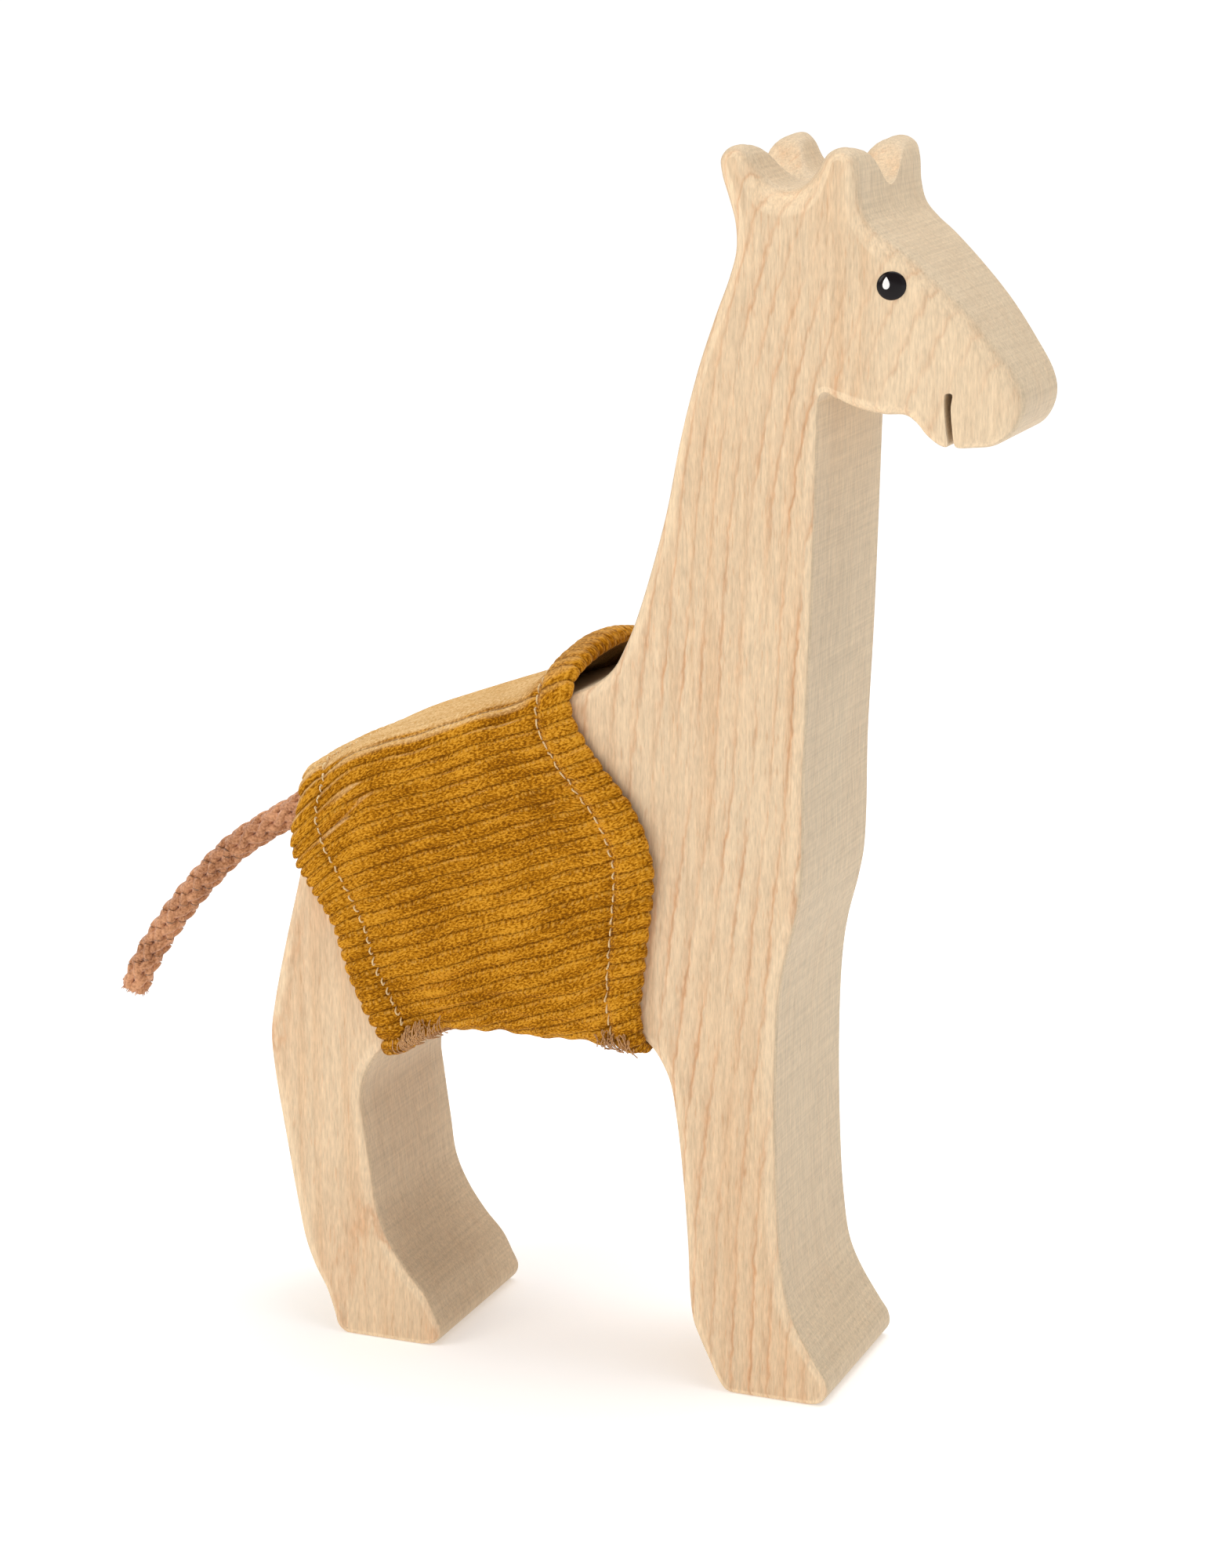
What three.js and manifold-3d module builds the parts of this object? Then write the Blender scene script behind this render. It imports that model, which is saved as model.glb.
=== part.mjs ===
// A giraffe figure sawn from one thick plank, with painted eyes, a braided cord tail and a
// corduroy cover sewn as a sleeve round its barrel.
// Millimetres, +Z up, head towards +X, plank thickness along Y, soles on z = 0.
import * as THREE from "three";
import { mergeVertices } from "three/addons/utils/BufferGeometryUtils.js";
import Module from "manifold-3d";

// ---- Wooden figure ----
const PLANK = 34; // thickness of the plank
const FRONT_LEG_X = 19.5; // reference line of the front leg
const LEG_SPACING = 65.5; // hind leg's reference line behind the front leg's
const LEG_HEIGHT = 58.5; // floor to belly
const THROAT_RISE = 105; // belly to the notch under the jaw
const THROAT_AHEAD = 13.6; // front leg's line to that notch
const WITHERS_RISE = 55.1; // belly to the back line's front end
const HIP_RISE = 41.2; // belly to the back line's rear end
const FOOT_EDGE = 1.3; // rounding of the sawn edges, place by place
const BODY_EDGE = 2;
const CROWN_EDGE = 1.8;
const FACE_EDGE = 2.8;
const LIP_EDGE = 1.6;
const CHEEK_TAPER = 0.25; // how much each cheek comes in for each millimetre of muzzle
const GROOVE_DEPTH = 6; // lengthwise groove that parts the ears and the horns
const GROOVE_WIDTH = 27;
const KERF_WIDTH = 1; // the saw cut of the mouth
const KERF_LENGTH = 8.4;
const KERF_AHEAD = 19; // throat notch to the saw cut

// ---- Eyes ----
const EYE_DIAMETER = 4.3;
const EYE_HEIGHT = 0.5;
const EYE_AHEAD = 10.4; // from the throat notch
const EYE_ABOVE = 16.6;
const GLINT_WIDTH = 1.2;
const GLINT_LENGTH = 1.75;
const GLINT_THICKNESS = 0.15;
const GLINT_BACK = 0.62; // from the middle of the eye
const GLINT_UP = 0.5;
const PAINT_GAP = 0.1; // between a layer of paint and what it lies on

// ---- Tail ----
const CORD_DIAMETER = 5;
const HOLE_CLEARANCE = 0.3; // round the cord and at each side of the glue
const GLUE_THICKNESS = 0.4;
const CORD_ROUTE = [
  // ahead of the hind leg's line and above the hip, from inside the rump to the free end
  [0.1, -6.63],
  [-4.2, -7.55],
  [-8.6, -8.5],
  [-12.2, -9.85],
  [-15.8, -11.9],
  [-19.8, -14.4],
  [-25.6, -18],
  [-30.9, -21.8],
  [-36.3, -27.1],
  [-41.6, -33.3],
  [-46.1, -39.4],
  [-49.4, -44.8],
  [-51.2, -48.8],
];

// ---- Corduroy cover ----
const CLOTH = 1.5; // thickness of the corduroy
const COVER_EASE = 0.4; // between the wood and the cloth
const COVER_CORNER = 3; // outside rounding over the plank's edges
const FRONT_ARCH = 5.2; // how far the front hem stands off the withers
const ARCH_LENGTH = 6.5; // length over which it rises
const RUMP_SLOPE = 0.366; // how the cover falls away behind the hip
const RUMP_ROUND = 0.035;
const FRONT_HEM = 6; // hem edge to its stitch line
const REAR_HEM = 5;
const THREAD = 0.5; // thickness of the sewing thread's line
const THREAD_GAP = 0.3;
const SEAM_WIDTH = 4.5; // overlocked seam under the belly
const SEAM_THICKNESS = 0.8;
const SEAM_END = 1.2; // from a stitch line to the seam's end
const SEAM_ASIDE = 9; // from the middle of the belly towards the right side

// ---- Fineness ----
const SAMPLES_PER_NODE = 3;
const EDGE_STEPS = 3;
const COVER_STEPS = 14;

const HIND_LEG_X = FRONT_LEG_X - LEG_SPACING;
const THROAT_X = FRONT_LEG_X + THROAT_AHEAD;
const THROAT_Z = LEG_HEIGHT + THROAT_RISE;
const HALF_PLANK = PLANK / 2;

const wasm = await Module();
wasm.setup();

// ---------------------------------------------------------------- solids

function toSolid(geometry) {
  const bare = geometry.clone();
  bare.deleteAttribute("normal");
  bare.deleteAttribute("uv");
  const merged = mergeVertices(bare, 1e-4);
  return new wasm.Manifold(
    new wasm.Mesh({
      numProp: 3,
      vertProperties: merged.attributes.position.array,
      triVerts: new Uint32Array(merged.index.array),
    }),
  );
}

function toGeometry(solid) {
  const { vertProperties, triVerts } = solid.getMesh();
  const geometry = new THREE.BufferGeometry();
  geometry.setAttribute("position", new THREE.BufferAttribute(vertProperties, 3));
  geometry.setIndex(new THREE.BufferAttribute(triVerts, 1));
  geometry.computeVertexNormals();
  return geometry;
}

function indexedGeometry(points, triangles) {
  const geometry = new THREE.BufferGeometry().setFromPoints(points);
  geometry.setIndex(triangles);
  geometry.computeVertexNormals();
  return geometry;
}

// Two triangles for each cell between two closed rings of vertices that run anticlockwise
// when seen from the first ring's side.
function ringStrip(first, second, count) {
  const triangles = [];
  for (let i = 0; i < count; i++) {
    const j = (i + 1) % count;
    triangles.push(first + i, second + i, second + j);
    triangles.push(first + i, second + j, first + j);
  }
  return triangles;
}

function namedMesh(name, geometry, color, roughness, metalness = 0) {
  const mesh = new THREE.Mesh(
    geometry,
    new THREE.MeshStandardMaterial({ color, roughness, metalness }),
  );
  mesh.name = name;
  return mesh;
}

// ---------------------------------------------------------------- side outline

// Nodes are [x, z, edge rounding], placed from the leg, belly, back or throat they belong to.
const onFrontLeg = (dx, z, edge) => [FRONT_LEG_X + dx, z, edge];
const onHindLeg = (dx, z, edge) => [HIND_LEG_X + dx, z, edge];
const onBelly = (x, dz) => [x, LEG_HEIGHT + dz, BODY_EDGE];
const onHead = (dx, dz, edge) => [THROAT_X + dx, THROAT_Z + dz, edge];

function frontFootAndLeg() {
  return [
    onFrontLeg(-0.7, 0.35, FOOT_EDGE),
    onFrontLeg(1.2, 0, FOOT_EDGE),
    onFrontLeg(13.2, 0, FOOT_EDGE),
    onFrontLeg(15.6, 0.5, FOOT_EDGE),
    onFrontLeg(16.7, 2.2, FOOT_EDGE),
    onFrontLeg(16.4, 4.2, FOOT_EDGE),
    onFrontLeg(14.8, 6.7, FOOT_EDGE),
    onFrontLeg(11.8, 11.6, BODY_EDGE),
    onFrontLeg(9.6, 16.6, BODY_EDGE),
    onFrontLeg(8.3, 0.42 * LEG_HEIGHT, BODY_EDGE),
    onFrontLeg(7.5, 0.62 * LEG_HEIGHT, BODY_EDGE),
    onFrontLeg(7.1, 0.9 * LEG_HEIGHT, BODY_EDGE),
  ];
}

function chestAndNeckFront() {
  return [
    onBelly(FRONT_LEG_X + 7.5, 7.9),
    onBelly(FRONT_LEG_X + 8.4, 14.5),
    onBelly(FRONT_LEG_X + 10, 21),
    onBelly(FRONT_LEG_X + 10.9, 26),
    onBelly(FRONT_LEG_X + 11.2, 33),
    onBelly(FRONT_LEG_X + 11.1, 45),
    onHead(-1.7, -42, BODY_EDGE),
    onHead(-1.2, -23, BODY_EDGE),
    onHead(-0.9, -8, BODY_EDGE),
    onHead(-0.9, -2.6, LIP_EDGE),
    onHead(-0.6, -0.7, LIP_EDGE),
    onHead(0.2, 0, LIP_EDGE),
  ];
}

function jawAndMuzzle() {
  return [
    onHead(2, -0.7, LIP_EDGE),
    onHead(5.5, -2.1, BODY_EDGE),
    onHead(9.3, -2.8, BODY_EDGE),
    onHead(12.4, -2.9, BODY_EDGE),
    onHead(13.9, -3.9, BODY_EDGE),
    onHead(15.6, -5.9, LIP_EDGE),
    onHead(17.4, -7.2, LIP_EDGE),
    onHead(19.6, -7.6, LIP_EDGE),
    onHead(22, -7.65, LIP_EDGE),
    onHead(25.2, -7.3, BODY_EDGE),
    onHead(27.4, -5.9, BODY_EDGE),
    onHead(29, -3.4, BODY_EDGE),
    onHead(29.5, -0.8, FACE_EDGE),
    onHead(28.7, 2.1, FACE_EDGE),
  ];
}

function foreheadAndHorn() {
  return [
    onHead(25.6, 6.8, FACE_EDGE),
    onHead(21.3, 12.3, FACE_EDGE),
    onHead(16.5, 17.2, FACE_EDGE),
    onHead(11.2, 21.9, FACE_EDGE),
    onHead(8, 24.3, FACE_EDGE),
    onHead(6, 26.5, FACE_EDGE),
    onHead(5.1, 29.5, CROWN_EDGE),
    onHead(4.8, 33.4, CROWN_EDGE),
    onHead(4.2, 35.4, CROWN_EDGE),
    onHead(2.9, 36.35, CROWN_EDGE),
    onHead(1.4, 36.5, CROWN_EDGE),
    onHead(-0.4, 35.6, CROWN_EDGE),
  ];
}

function crownAndEar() {
  return [
    onHead(-2.2, 32.9, CROWN_EDGE),
    onHead(-4.2, 30.8, CROWN_EDGE),
    onHead(-6.6, 30.2, CROWN_EDGE),
    onHead(-8.8, 30.8, CROWN_EDGE),
    onHead(-10.8, 32.8, CROWN_EDGE),
    onHead(-12.4, 35.4, CROWN_EDGE),
    onHead(-14, 36.5, CROWN_EDGE),
    onHead(-15.9, 36.1, CROWN_EDGE),
    onHead(-17.1, 34.6, CROWN_EDGE),
    onHead(-16.9, 32.2, CROWN_EDGE),
    onHead(-15.7, 28.7, CROWN_EDGE),
    onHead(-14.6, 25, BODY_EDGE),
    onHead(-14.4, 20.9, BODY_EDGE),
  ];
}

function napeAndBack() {
  const front = [FRONT_LEG_X - 28, LEG_HEIGHT + WITHERS_RISE, BODY_EDGE];
  const rear = [HIND_LEG_X - 0.5, LEG_HEIGHT + HIP_RISE, BODY_EDGE];
  const between = (share) => front.map((value, k) => value + (rear[k] - value) * share);
  return [
    onHead(-15.4, 16.9, BODY_EDGE),
    onHead(-17.6, 11, BODY_EDGE),
    onHead(-20.6, 2, BODY_EDGE),
    onHead(-23.3, -9, BODY_EDGE),
    onHead(-25.7, -21, BODY_EDGE),
    onBelly(FRONT_LEG_X - 16.4, WITHERS_RISE + 14),
    onBelly(FRONT_LEG_X - 18.6, WITHERS_RISE + 8.4),
    onBelly(FRONT_LEG_X - 20.6, WITHERS_RISE + 4.7),
    onBelly(FRONT_LEG_X - 23.5, WITHERS_RISE + 2.1),
    front,
    between(0.3),
    between(0.7),
    rear,
  ];
}

function rumpAndHindLeg() {
  return [
    onBelly(HIND_LEG_X - 3.6, HIP_RISE - 2),
    onBelly(HIND_LEG_X - 6.6, HIP_RISE - 5.6),
    onBelly(HIND_LEG_X - 8.3, HIP_RISE - 10.2),
    onBelly(HIND_LEG_X - 9.6, HIP_RISE - 15.7),
    onBelly(HIND_LEG_X - 11, HIP_RISE - 21.7),
    onBelly(HIND_LEG_X - 13.6, 8.8),
    onBelly(HIND_LEG_X - 15.8, -1.3),
    onHindLeg(-16.6, 0.88 * LEG_HEIGHT, BODY_EDGE),
    onHindLeg(-16.1, 0.77 * LEG_HEIGHT, BODY_EDGE),
    onHindLeg(-14.2, 0.57 * LEG_HEIGHT, BODY_EDGE),
    onHindLeg(-12.3, 0.38 * LEG_HEIGHT, BODY_EDGE),
    onHindLeg(-10.9, 15.4, BODY_EDGE),
    onHindLeg(-9.2, 11.2, BODY_EDGE),
    onHindLeg(-7, 7.3, FOOT_EDGE),
    onHindLeg(-5.6, 3.4, FOOT_EDGE),
    onHindLeg(-4.9, 1.2, FOOT_EDGE),
    onHindLeg(-3.2, 0, FOOT_EDGE),
  ];
}

function hindFootAndArch() {
  return [
    onHindLeg(10.5, 0, FOOT_EDGE),
    onHindLeg(13, 0.6, FOOT_EDGE),
    onHindLeg(14.1, 2.6, FOOT_EDGE),
    onHindLeg(12.9, 5.6, FOOT_EDGE),
    onHindLeg(11.3, 8.7, BODY_EDGE),
    onHindLeg(8.2, 12.3, BODY_EDGE),
    onHindLeg(4.9, 17, BODY_EDGE),
    onHindLeg(2.7, 0.376 * LEG_HEIGHT, BODY_EDGE),
    onHindLeg(1.7, 0.49 * LEG_HEIGHT, BODY_EDGE),
    onHindLeg(0.5, 0.64 * LEG_HEIGHT, BODY_EDGE),
    onHindLeg(0, 0.718 * LEG_HEIGHT, BODY_EDGE),
    onBelly(HIND_LEG_X + 0.7, -12.5),
    onBelly(HIND_LEG_X + 2.8, -8.9),
    onBelly(HIND_LEG_X + 6, -5.9),
    onBelly(HIND_LEG_X + 10, -2.9),
    onBelly(HIND_LEG_X + 15, -0.7),
    onBelly(HIND_LEG_X + 22, 0),
  ];
}

function archFrontAndHeel() {
  return [
    onBelly(FRONT_LEG_X - 24.5, 0),
    onBelly(FRONT_LEG_X - 18, 0),
    onBelly(FRONT_LEG_X - 15.6, -0.4),
    onBelly(FRONT_LEG_X - 13.8, -1.8),
    onBelly(FRONT_LEG_X - 12.2, -4.1),
    onBelly(FRONT_LEG_X - 10.8, -7.3),
    onFrontLeg(-9.6, 0.76 * LEG_HEIGHT, BODY_EDGE),
    onFrontLeg(-8.3, 0.56 * LEG_HEIGHT, BODY_EDGE),
    onFrontLeg(-7.6, 0.4 * LEG_HEIGHT, BODY_EDGE),
    onFrontLeg(-7.2, 15.4, BODY_EDGE),
    onFrontLeg(-6.6, 11.4, BODY_EDGE),
    onFrontLeg(-5.2, 8.2, BODY_EDGE),
    onFrontLeg(-3.6, 5, FOOT_EDGE),
    onFrontLeg(-2.3, 2.4, FOOT_EDGE),
  ];
}

// Smooth closed curve through the nodes, with the soles cut off flat at z = 0. Each sample
// holds x and z, the outward normal in that plane and the rounding of the edge there.
function outlineSamples() {
  const nodes = [
    ...frontFootAndLeg(),
    ...chestAndNeckFront(),
    ...jawAndMuzzle(),
    ...foreheadAndHorn(),
    ...crownAndEar(),
    ...napeAndBack(),
    ...rumpAndHindLeg(),
    ...hindFootAndArch(),
    ...archFrontAndHeel(),
  ];
  const curve = new THREE.CatmullRomCurve3(
    nodes.map((node) => new THREE.Vector3(...node)),
    true,
    "centripetal",
  );
  const points = curve.getPoints(nodes.length * SAMPLES_PER_NODE).slice(0, -1);
  points.forEach((p) => (p.y = Math.max(p.y, 0)));
  return points.map((p, i) => {
    const before = points.at(i - 1);
    const after = points[(i + 1) % points.length];
    const normal = new THREE.Vector2(after.y - before.y, before.x - after.x).normalize();
    return { x: p.x, z: p.y, edge: p.z, normal };
  });
}

// ---------------------------------------------------------------- wooden figure

const OUTLINE = outlineSamples();

// The outline drawn in by its edge rounding times share: share 1 is the rim of the flat face.
function insetOutline(share) {
  return OUTLINE.map(
    ({ x, z, edge, normal }) =>
      new THREE.Vector2(x - normal.x * edge * share, z - normal.y * edge * share),
  );
}

// The two places on the face's rim where the cheek starts, under the jaw and at the horn.
function cheekEnds() {
  const rim = insetOutline(1);
  const start = THROAT_X + 6.3;
  const crossings = rim
    .map((p, i) => i)
    .filter((i) => {
      const next = rim[(i + 1) % rim.length];
      return rim[i].y > THROAT_Z - 10 && (rim[i].x - start) * (next.x - start) <= 0;
    });
  return { rim, jaw: crossings[0], horn: crossings.at(-1) };
}

const CHEEK = cheekEnds();

// Half the thickness of the wood at x, z: the whole plank behind the cheeks, and less in
// proportion to the distance ahead of the line between the cheek's two ends.
function halfThickness(x, z) {
  const jaw = CHEEK.rim[CHEEK.jaw];
  const horn = CHEEK.rim[CHEEK.horn];
  const line = horn.clone().sub(jaw).normalize();
  const ahead = (x - jaw.x) * line.y - (z - jaw.y) * line.x;
  const onHeadSide = z > THROAT_Z - 10;
  return HALF_PLANK - (onHeadSide ? CHEEK_TAPER * Math.max(0, ahead) : 0);
}

// One ring of vertices of the figure's edge: turn 0 is the rim of the right face, 90 degrees
// is where the rounding meets the sawn edge. side is -1 for the right face and 1 for the left.
function edgeRing(turn, side) {
  return insetOutline(1 - Math.sin(turn)).map((p, i) => {
    const sunk = OUTLINE[i].edge * (1 - Math.cos(turn));
    return new THREE.Vector3(p.x, side * (halfThickness(p.x, p.y) - sunk), p.y);
  });
}

// The flat face, in two parts that meet at the line where the cheek starts.
function faceTriangles() {
  const { rim, jaw, horn } = CHEEK;
  const all = rim.map((p, i) => i);
  const cheek = all.slice(jaw, horn + 1);
  const trunk = [...all.slice(horn), ...all.slice(0, jaw + 1)];
  return [cheek, trunk].flatMap((loop) =>
    THREE.ShapeUtils.triangulateShape(
      loop.map((i) => rim[i]),
      [],
    ).flatMap((triangle) => triangle.map((k) => loop[k])),
  );
}

function plankGeometry() {
  const count = OUTLINE.length;
  const turns = Array.from({ length: EDGE_STEPS + 1 }, (_, k) => ((k / EDGE_STEPS) * Math.PI) / 2);
  const rings = [
    ...turns.map((turn) => edgeRing(turn, -1)),
    ...turns.toReversed().map((turn) => edgeRing(turn, 1)),
  ];
  const strips = rings
    .slice(1)
    .flatMap((_, k) => ringStrip(k * count, (k + 1) * count, count));
  const right = faceTriangles();
  const left = right.toReversed().map((i) => i + (rings.length - 1) * count);
  return indexedGeometry(rings.flat(), [...right, ...strips, ...left]);
}

// A rounded trough along X, open upwards.
function grooveCutter() {
  const top = THROAT_Z + 36.5;
  const halfWidth = GROOVE_WIDTH / 2;
  const section = new THREE.Shape();
  section.moveTo(-halfWidth, top + 2);
  section.lineTo(-halfWidth, top);
  section.bezierCurveTo(
    -0.55 * halfWidth,
    top - GROOVE_DEPTH * 0.75,
    -0.35 * halfWidth,
    top - GROOVE_DEPTH,
    0,
    top - GROOVE_DEPTH,
  );
  section.bezierCurveTo(
    0.35 * halfWidth,
    top - GROOVE_DEPTH,
    0.55 * halfWidth,
    top - GROOVE_DEPTH * 0.75,
    halfWidth,
    top,
  );
  section.lineTo(halfWidth, top + 2);
  const length = 40;
  const geometry = new THREE.ExtrudeGeometry(section, {
    depth: length,
    bevelEnabled: false,
    curveSegments: 8,
  });
  geometry.rotateX(Math.PI / 2);
  geometry.rotateZ(Math.PI / 2);
  geometry.translate(THROAT_X - 26, 0, 0);
  return toSolid(geometry);
}

function kerfCutter() {
  const below = 5;
  const geometry = new THREE.BoxGeometry(KERF_WIDTH, PLANK + 2, KERF_LENGTH + below);
  geometry.translate(THROAT_X + KERF_AHEAD, 0, THROAT_Z + 0.6 - (KERF_LENGTH + below) / 2);
  return toSolid(geometry);
}

// Distances along the tail hole's axis, from where the cord ends inside the rump.
const CORD_POINTS = CORD_ROUTE.map(
  ([ahead, above]) => new THREE.Vector3(HIND_LEG_X + ahead, 0, LEG_HEIGHT + HIP_RISE + above),
);
const CORD_END = CORD_POINTS[0];
const INWARD = CORD_END.clone().sub(CORD_POINTS[2]).normalize();
const HOLE_DEPTH = 2 * HOLE_CLEARANCE + GLUE_THICKNESS;

// A cylinder on the hole's axis that starts at distance from beyond the cord's inner end.
function onHoleAxis(radius, from, length) {
  const geometry = new THREE.CylinderGeometry(radius, radius, length, 24);
  geometry.translate(0, from + length / 2, 0);
  const turn = new THREE.Quaternion().setFromUnitVectors(new THREE.Vector3(0, 1, 0), INWARD);
  geometry.applyQuaternion(turn);
  geometry.translate(CORD_END.x, CORD_END.y, CORD_END.z);
  return geometry;
}

function tailHoleCutter() {
  const reach = 20;
  return toSolid(
    onHoleAxis(CORD_DIAMETER / 2 + HOLE_CLEARANCE, -reach, reach + HOLE_DEPTH),
  );
}

function woodenBody() {
  const solid = toSolid(plankGeometry())
    .subtract(grooveCutter())
    .subtract(kerfCutter())
    .subtract(tailHoleCutter());
  return namedMesh("wooden_body", toGeometry(solid), 0xe9c99f, 0.7);
}

// ---------------------------------------------------------------- painted eyes

// Places a piece built round the origin with +Z outwards on the right or left cheek.
function onCheek(geometry, side, lift) {
  const x = THROAT_X + EYE_AHEAD;
  const z = THROAT_Z + EYE_ABOVE;
  const slope = Math.atan2(halfThickness(x + 1, z) - halfThickness(x, z), 1);
  geometry.translate(0, 0, lift);
  geometry.rotateX(Math.PI / 2);
  geometry.rotateZ(-slope);
  if (side > 0) {
    geometry.scale(1, -1, 1);
    const index = geometry.index ?? mergeVertices(geometry).index;
    for (let i = 0; i < index.count; i += 3) {
      const kept = index.getX(i + 1);
      index.setX(i + 1, index.getX(i + 2));
      index.setX(i + 2, kept);
    }
  }
  geometry.translate(x, side * halfThickness(x, z), z);
  return geometry;
}

// A shallow drop: a flat back and a part of a parabola in front.
function eyeDrop(name, side) {
  const radius = EYE_DIAMETER / 2;
  const steps = 6;
  const profile = [new THREE.Vector2(0, 0)];
  for (let k = 0; k <= steps; k++) {
    const r = radius * (1 - k / steps);
    profile.push(new THREE.Vector2(r, EYE_HEIGHT * (0.15 + 0.85 * (1 - (r / radius) ** 2))));
  }
  profile.splice(1, 0, new THREE.Vector2(radius, 0));
  const geometry = mergeVertices(bareLathe(profile, 32), 1e-4);
  geometry.rotateX(Math.PI / 2);
  return namedMesh(name, onCheek(geometry, side, PAINT_GAP), 0x120c0c, 0.18);
}

function bareLathe(profile, segments) {
  const geometry = new THREE.LatheGeometry(profile, segments);
  geometry.deleteAttribute("normal");
  geometry.deleteAttribute("uv");
  return geometry;
}

// The white glint: a drop shape, point up, that lies over the eye's highest part.
function eyeGlint(name, side) {
  const half = GLINT_WIDTH / 2;
  const low = -GLINT_LENGTH / 2;
  const drop = new THREE.Shape();
  drop.moveTo(0, GLINT_LENGTH / 2);
  drop.bezierCurveTo(-half * 0.5, GLINT_LENGTH * 0.2, -half, 0, -half, low + half);
  drop.absarc(0, low + half, half, Math.PI, 2 * Math.PI, false);
  drop.bezierCurveTo(half, 0, half * 0.5, GLINT_LENGTH * 0.2, 0, GLINT_LENGTH / 2);
  const raw = new THREE.ExtrudeGeometry(drop, {
    depth: GLINT_THICKNESS,
    bevelEnabled: false,
    curveSegments: 8,
  });
  raw.deleteAttribute("normal");
  raw.deleteAttribute("uv");
  const geometry = mergeVertices(raw, 1e-4);
  geometry.translate(-GLINT_BACK, GLINT_UP, 0);
  return namedMesh(name, onCheek(geometry, side, EYE_HEIGHT + 2 * PAINT_GAP), 0xffffff, 0.3);
}

// ---------------------------------------------------------------- tail

function tailCord() {
  const sides = 12;
  const section = new THREE.Shape();
  section.absarc(0, 0, CORD_DIAMETER / 2, 0, 2 * Math.PI, false);
  const route = new THREE.CatmullRomCurve3(CORD_POINTS, false, "centripetal");
  const geometry = new THREE.ExtrudeGeometry(section, {
    steps: 30,
    curveSegments: sides,
    bevelEnabled: false,
    extrudePath: route,
  });
  return namedMesh("tail_cord", geometry, 0x96563c, 0.9);
}

function tailGlue() {
  const radius = CORD_DIAMETER / 2;
  return namedMesh(
    "tail_glue",
    onHoleAxis(radius, HOLE_CLEARANCE, GLUE_THICKNESS),
    0xe8dfc0,
    0.4,
  );
}

// ---------------------------------------------------------------- corduroy cover

// Smooth curve value = f(at) through a row of [at, value] stations.
function through(stations, at) {
  const last = stations.length - 1;
  const k = Math.min(
    Math.max(stations.findIndex((s) => s[0] > at) - 1, 0),
    last - 1,
  );
  const i = at >= stations[last][0] ? last - 1 : k;
  const slope = (j) => {
    const a = stations[Math.max(j - 1, 0)];
    const b = stations[Math.min(j + 1, last)];
    return (b[1] - a[1]) / (b[0] - a[0]);
  };
  const [x0, y0] = stations[i];
  const [x1, y1] = stations[i + 1];
  const span = x1 - x0;
  const t = THREE.MathUtils.clamp((at - x0) / span, 0, 1);
  const bend = (1 - t) ** 2 * t * slope(i) - t ** 2 * (1 - t) * slope(i + 1);
  return y0 * (1 + 2 * t) * (1 - t) ** 2 + y1 * (3 - 2 * t) * t ** 2 + span * bend;
}

const OUTSIDE = COVER_EASE + CLOTH; // from the wood to the cloth's outer side

// Height of the cloth's outer side over the back and under the belly, at x.
function coverTop(x) {
  const slope = (WITHERS_RISE - HIP_RISE) / (LEG_SPACING - 27.5);
  const ahead = Math.max(0, x - HIND_LEG_X + 0.5);
  const overRump = Math.max(0, HIND_LEG_X - 0.5 - x);
  const drop = RUMP_SLOPE * overRump + RUMP_ROUND * overRump ** 2;
  return LEG_HEIGHT + HIP_RISE + OUTSIDE + ahead * slope - drop;
}

function coverBottom(x) {
  const stations = [
    [HIND_LEG_X + 2.5, -9.3],
    [HIND_LEG_X + 6, -6.2],
    [HIND_LEG_X + 10, -3.2],
    [HIND_LEG_X + 15, -0.9],
    [HIND_LEG_X + 22, 0],
    [FRONT_LEG_X - 18, 0],
    [FRONT_LEG_X - 15.6, -0.4],
    [FRONT_LEG_X - 13, -2.6],
  ];
  return LEG_HEIGHT + through(stations, x) - OUTSIDE;
}

// The two hems on the cloth's sides: x at a share of the height, 0 at the belly, 1 at the back.
function frontHem(share) {
  const stations = [
    [0, -15.6],
    [0.2, -15.2],
    [0.46, -13.7],
    [0.6, -15.4],
    [0.8, -21.9],
    [1, -27.6],
  ];
  return FRONT_LEG_X + through(stations, share);
}

function rearHem(share) {
  const stations = [
    [0, 3.6],
    [0.1, 1.7],
    [0.4, -2.8],
    [0.7, -9.1],
    [0.85, -10.4],
    [1, -9],
  ];
  return HIND_LEG_X + through(stations, share);
}

// Section of the sleeve across X, a rounded rectangle: each point has its y, the share of the
// height between belly and back, and what is added to that height.
function coverSection(outset) {
  const half = HALF_PLANK + OUTSIDE + outset;
  const corner = COVER_CORNER + outset;
  const side = [];
  const cornerSteps = 4;
  const sideSteps = 10;
  const acrossSteps = 6;
  for (let k = 0; k <= acrossSteps; k++) {
    const y = (half - corner) * (k / acrossSteps);
    side.push({ y, share: 1, lift: outset });
  }
  for (let k = 1; k <= cornerSteps; k++) {
    const turn = (k / cornerSteps) * (Math.PI / 2);
    const lift = outset - corner * (1 - Math.cos(turn));
    side.push({ y: half - corner + corner * Math.sin(turn), share: 1, lift });
  }
  for (let k = 1; k < sideSteps; k++) {
    const share = 1 - k / sideSteps;
    side.push({ y: half, share, lift: (outset - corner) * (2 * share - 1) });
  }
  const lower = side
    .filter((p) => p.share === 1)
    .map((p) => ({ y: p.y, share: 0, lift: -p.lift }))
    .toReversed();
  const left = [...side, ...lower];
  const right = left
    .slice(1, -1)
    .map((p) => ({ ...p, y: -p.y }))
    .toReversed();
  return [...left, ...right];
}

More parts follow.
